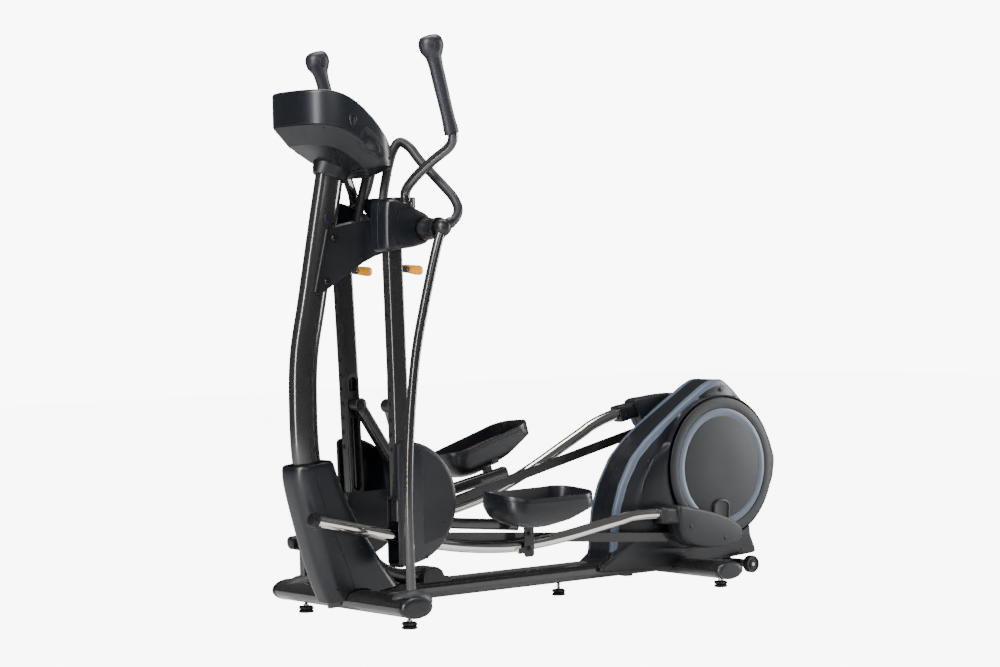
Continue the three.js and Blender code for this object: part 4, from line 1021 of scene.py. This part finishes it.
plate = slab([(536, 165), (542, 159), (568, 159), (574, 165), (574, 292), (536, 292)], -165, -171)
pair(plate, "carriage_plate", PLASTIC_DEEP, "pedal_unit", bevel=1.4)
pair(slab([(541, 284), (569, 284), (569, 300), (541, 300)], -112, -171.4), "carriage_shelf",
     PLASTIC_DEEP, "pedal_unit", bevel=1.2)
for i, z in enumerate((262, 232, 186)):
    bolt = lathe([(0.01, 0), (8, 0), (8, -1.4), (6.6, -1.6), (6.4, -4.6), (5, -5.4), (3, -5.4),
                  (2.6, -3.6), (0.01, -3.4)], (555, -171, z), "Y", 24)
    pair(bolt, f"carriage_bolt_{i}", BLACKHW, "pedal_unit")
pair(slab([(514, 173), (540, 171), (540, 191), (514, 189)], -167.4, -171.6), "roller_arm",
     PLASTIC_DEEP, "pedal_unit", bevel=1)
pair(lathe([(0.01, -168), (10, -168), (11, -167), (11, -162.8), (10, -161.8), (4, -161.8),
            (0.01, -162.4)], (520, 181), "Y", 40), "pedal_roller", WHITE, "pedal_unit")

# ---- rails

RAIL_FRONT, RAIL_REAR = (-247, 334), (1180, 241)
RAIL = [RAIL_FRONT, (49, 264), (222, 225), (345, 206), (495, 194), (600, 197), (733, 210), (868, 230),
        (958, 243), (1006, 251), (1106, 251), RAIL_REAR]


def rail_pipe(radius, n, sides, reach=()):
    return pipe([(x, -RAIL_Y, z) for x, z in [*RAIL, *reach]], radius, n, sides)


pair(rail_pipe(18.5, 220, 48), "rail_tube", CHROME, "rail_unit", "chrome", ["rail"])
forward = Vector((RAIL_FRONT[0] - 49, RAIL_FRONT[1] - 264)).normalized()


def rail_end(distance, radius):
    x, z = RAIL_FRONT[0] + forward.x * distance, RAIL_FRONT[1] + forward.y * distance
    return [(x - forward.y * radius * math.cos(a), -RAIL_Y + radius * math.sin(a),
             z + forward.x * radius * math.cos(a))
            for a in np.linspace(0, 2 * math.pi, 48, endpoint=False)]


pair(loft([rail_end(*s) for s in (
    (-22, 18.7), (-21, 20.2), (-3, 20.4), (1.5, 19.4), (3.4, 16), (4, 8))]),
     "rail_end_cap", BLACKHW, "rail_unit", "rubber", angle=40)
pair(turned([(8, -13), (9, -12), (9, 12), (8, 13)], (-228, -RAIL_Y, 312), "Y", 32),
     "rail_bumper", RUBBER, "rail_unit", "rubber")
for side, word in SIDES:
    axis = GUIDE if word == "left" else turn(GUIDE, ARM_LAG, HUB)
    trunnion = turned([(r, y * side) for r, y in ((8, 119), (9, 120), (9, 167), (8, 168))],
                      axis, "Y", 32)
    dress(trunnion, f"guide_pin_{word}", ZINC, f"rail_unit_{word}", "chrome")

DROP = curve([(1192, 269), (1268, 260), (1330, 246), (1386, 229), (1440, 207), (1472, 184), (1480, 160),
              (1462, 134), (1419, 122), (1360, 121), (1291, 127), (1232, 144), (1204, 172), (1194, 215)],
             150, True)
drop = loft(inset_rings(DROP, (
    (-109.2, 4.4), (-110.4, 1.6), (-113, 0.4), (-116, 0), (-138, 0), (-139, 1.1), (-140.6, 1.1), (-141.6, 0),
    (-160, 0), (-167, 1), (-171.6, 3.2), (-174, 6.6), (-175, 11))))
cut(drop, rail_pipe(18.9, 120, 32, [(1186, 240)]))
pair(drop, "rail_drop_cover", MATT, "rail_unit", nodes=["rail_cover"], angle=26)


def collar_ring(x, half_y, half_z):
    z = 249 - (x - 1106) * 10 / 74
    return [(x, -RAIL_Y + y, z + w) for y, w in rounded(0, 0, 2 * half_y, 2 * half_z, 13, 8)]


RIB = ((0, 25.5, 28), (6, 26, 28.6), (6.6, 24.6, 27.2), (9.2, 24.6, 27.2))
neck = loft([collar_ring(1119, 22, 23)] +
            [collar_ring(1121 + 10 * i + dx, y, z) for i in range(3) for dx, y, z in RIB] +
            [collar_ring(1196, 26, 28)])
cut(neck, rail_pipe(18.9, 120, 32, [(1200, 238)]))
pair(neck, "rail_collar", PLASTIC_DEEP, "rail_unit", angle=28)
BAR_FRONT, BAR_REAR = (265, 241), (1334, 155)
length = math.dist(BAR_FRONT, BAR_REAR)
dx, dz = ((b - a) / length for a, b in zip(BAR_FRONT, BAR_REAR))
bar = [(BAR_FRONT[0] + dx * u - dz * w, BAR_FRONT[1] + dz * u + dx * w)
       for u, w in rounded(length / 2 + 8, 0, length + 14, 30, 14.8, 8)]
pair(slab(bar, -112, -121.5), "rail_flat_bar", PAINT_DARK, "rail_unit", bevel=1.2)
for i, (x, z) in enumerate(((1395, 150), (1240, 200))):
    screw(f"drop_screw_{i}", (x, -174.6, z), -1, 6, "rail_unit")

# ---- what stays as modelled in CAD

for name, mat in (("drive_stand", PAINT_DARK), ("drive_belt", RUBBER), ("brake", IRON)):
    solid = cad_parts[name].data
    solid.materials.clear()
    solid.materials.append(mat)

# ---- floor, light, camera

# Floor and backdrop are white to the eye but dim as light sources, so that dark plastic stays dark.
GREY = (0.93, 0.93, 0.93)


def seen(tree, dim, bright):
    """Strength that is bright for camera rays and dim for all others."""
    path = node(tree, "LightPath").outputs["Is Camera Ray"]
    return node(tree, "MapRange", {"To Min": dim, "To Max": bright}, Value=path).outputs["Result"]


FLOOR_HALF = 14000
floor = build([(x * FLOOR_HALF + MID, y * FLOOR_HALF, -0.5)
               for x, y in ((-1, -1), (1, -1), (1, 1), (-1, 1))], [(0, 1, 2, 3)])
paper = material("paper_floor", GREY, 0.9, bump=0.0, grain=40, tone=0.01)
tree = paper.node_tree
surface = tree.nodes["Principled BSDF"]
surface.inputs["Emission Color"].default_value = (1, 1, 1, 1)
shade = node(tree, "MixRGB", {"Color1": (*GREY, 1), "Color2": (0.16, 0.16, 0.16, 1)}, Fac=seen(tree, 0, 1))
tree.links.new(shade.outputs["Color"], surface.inputs["Base Color"])
tree.links.new(seen(tree, 0.0, 8.2), surface.inputs["Emission Strength"])
floor.data.materials.append(paper)

world = bpy.data.worlds.new("studio")
bpy.context.scene.world = world
world.use_nodes = True
backdrop = world.node_tree.nodes["Background"]
backdrop.inputs["Color"].default_value = (1, 1, 1, 1)
world.node_tree.links.new(seen(world.node_tree, 0.12, 9.0), backdrop.inputs["Strength"])


def lamp(name, at, target, size, power):
    data = bpy.data.lights.new(name, "AREA")
    data.shape = "RECTANGLE"
    data.size, data.size_y = size
    data.energy = power
    ob = bpy.data.objects.new(name, data)
    ob.location = at
    aim = Vector(target) - Vector(at)
    ob.rotation_euler = aim.to_track_quat("-Z", "Y").to_euler()
    bpy.context.scene.collection.objects.link(ob)


lamp("key", (-4.2, -1.8, 4.2), (0, 0, 0.8), (2.0, 2.0), 300)
lamp("fill", (-1.6, -5.2, 3.4), (0, 0, 0.8), (2.6, 2.0), 55)
lamp("strip", (4.4, -2.1, 1.5), (-0.2, 0, 0.9), (0.4, 3.4), 190)
lamp("top", (0.2, 0.4, 4.6), (0, 0, 0.6), (3.0, 1.6), 130)
lamp("front", (-4.2, -1.9, 1.3), (-0.6, 0, 0.9), (0.2, 3.2), 130)
# The camera stands FAR metres from its target, at azimuth az from the -y axis.
az, el, roll = rad(-38.558), rad(1.189), rad(-1.245)
FAR = 7.96
target = Vector((-0.1565, 0, 0.857))
back = Vector((math.sin(az) * math.cos(el), -math.cos(az) * math.cos(el), math.sin(el)))
right = (-back).cross(Vector((0, 0, 1))).normalized()
up = right.cross(-back)
across = math.cos(roll) * right + math.sin(roll) * up
above = -math.sin(roll) * right + math.cos(roll) * up
lens = bpy.data.cameras.new("camera")
lens.lens = 89.94
lens.sensor_width = 36
camera = bpy.data.objects.new("camera", lens)
pose = Matrix((across, above, back)).transposed().to_4x4()
pose.translation = target + back * FAR
camera.matrix_world = pose
bpy.context.scene.collection.objects.link(camera)
bpy.context.scene.camera = camera
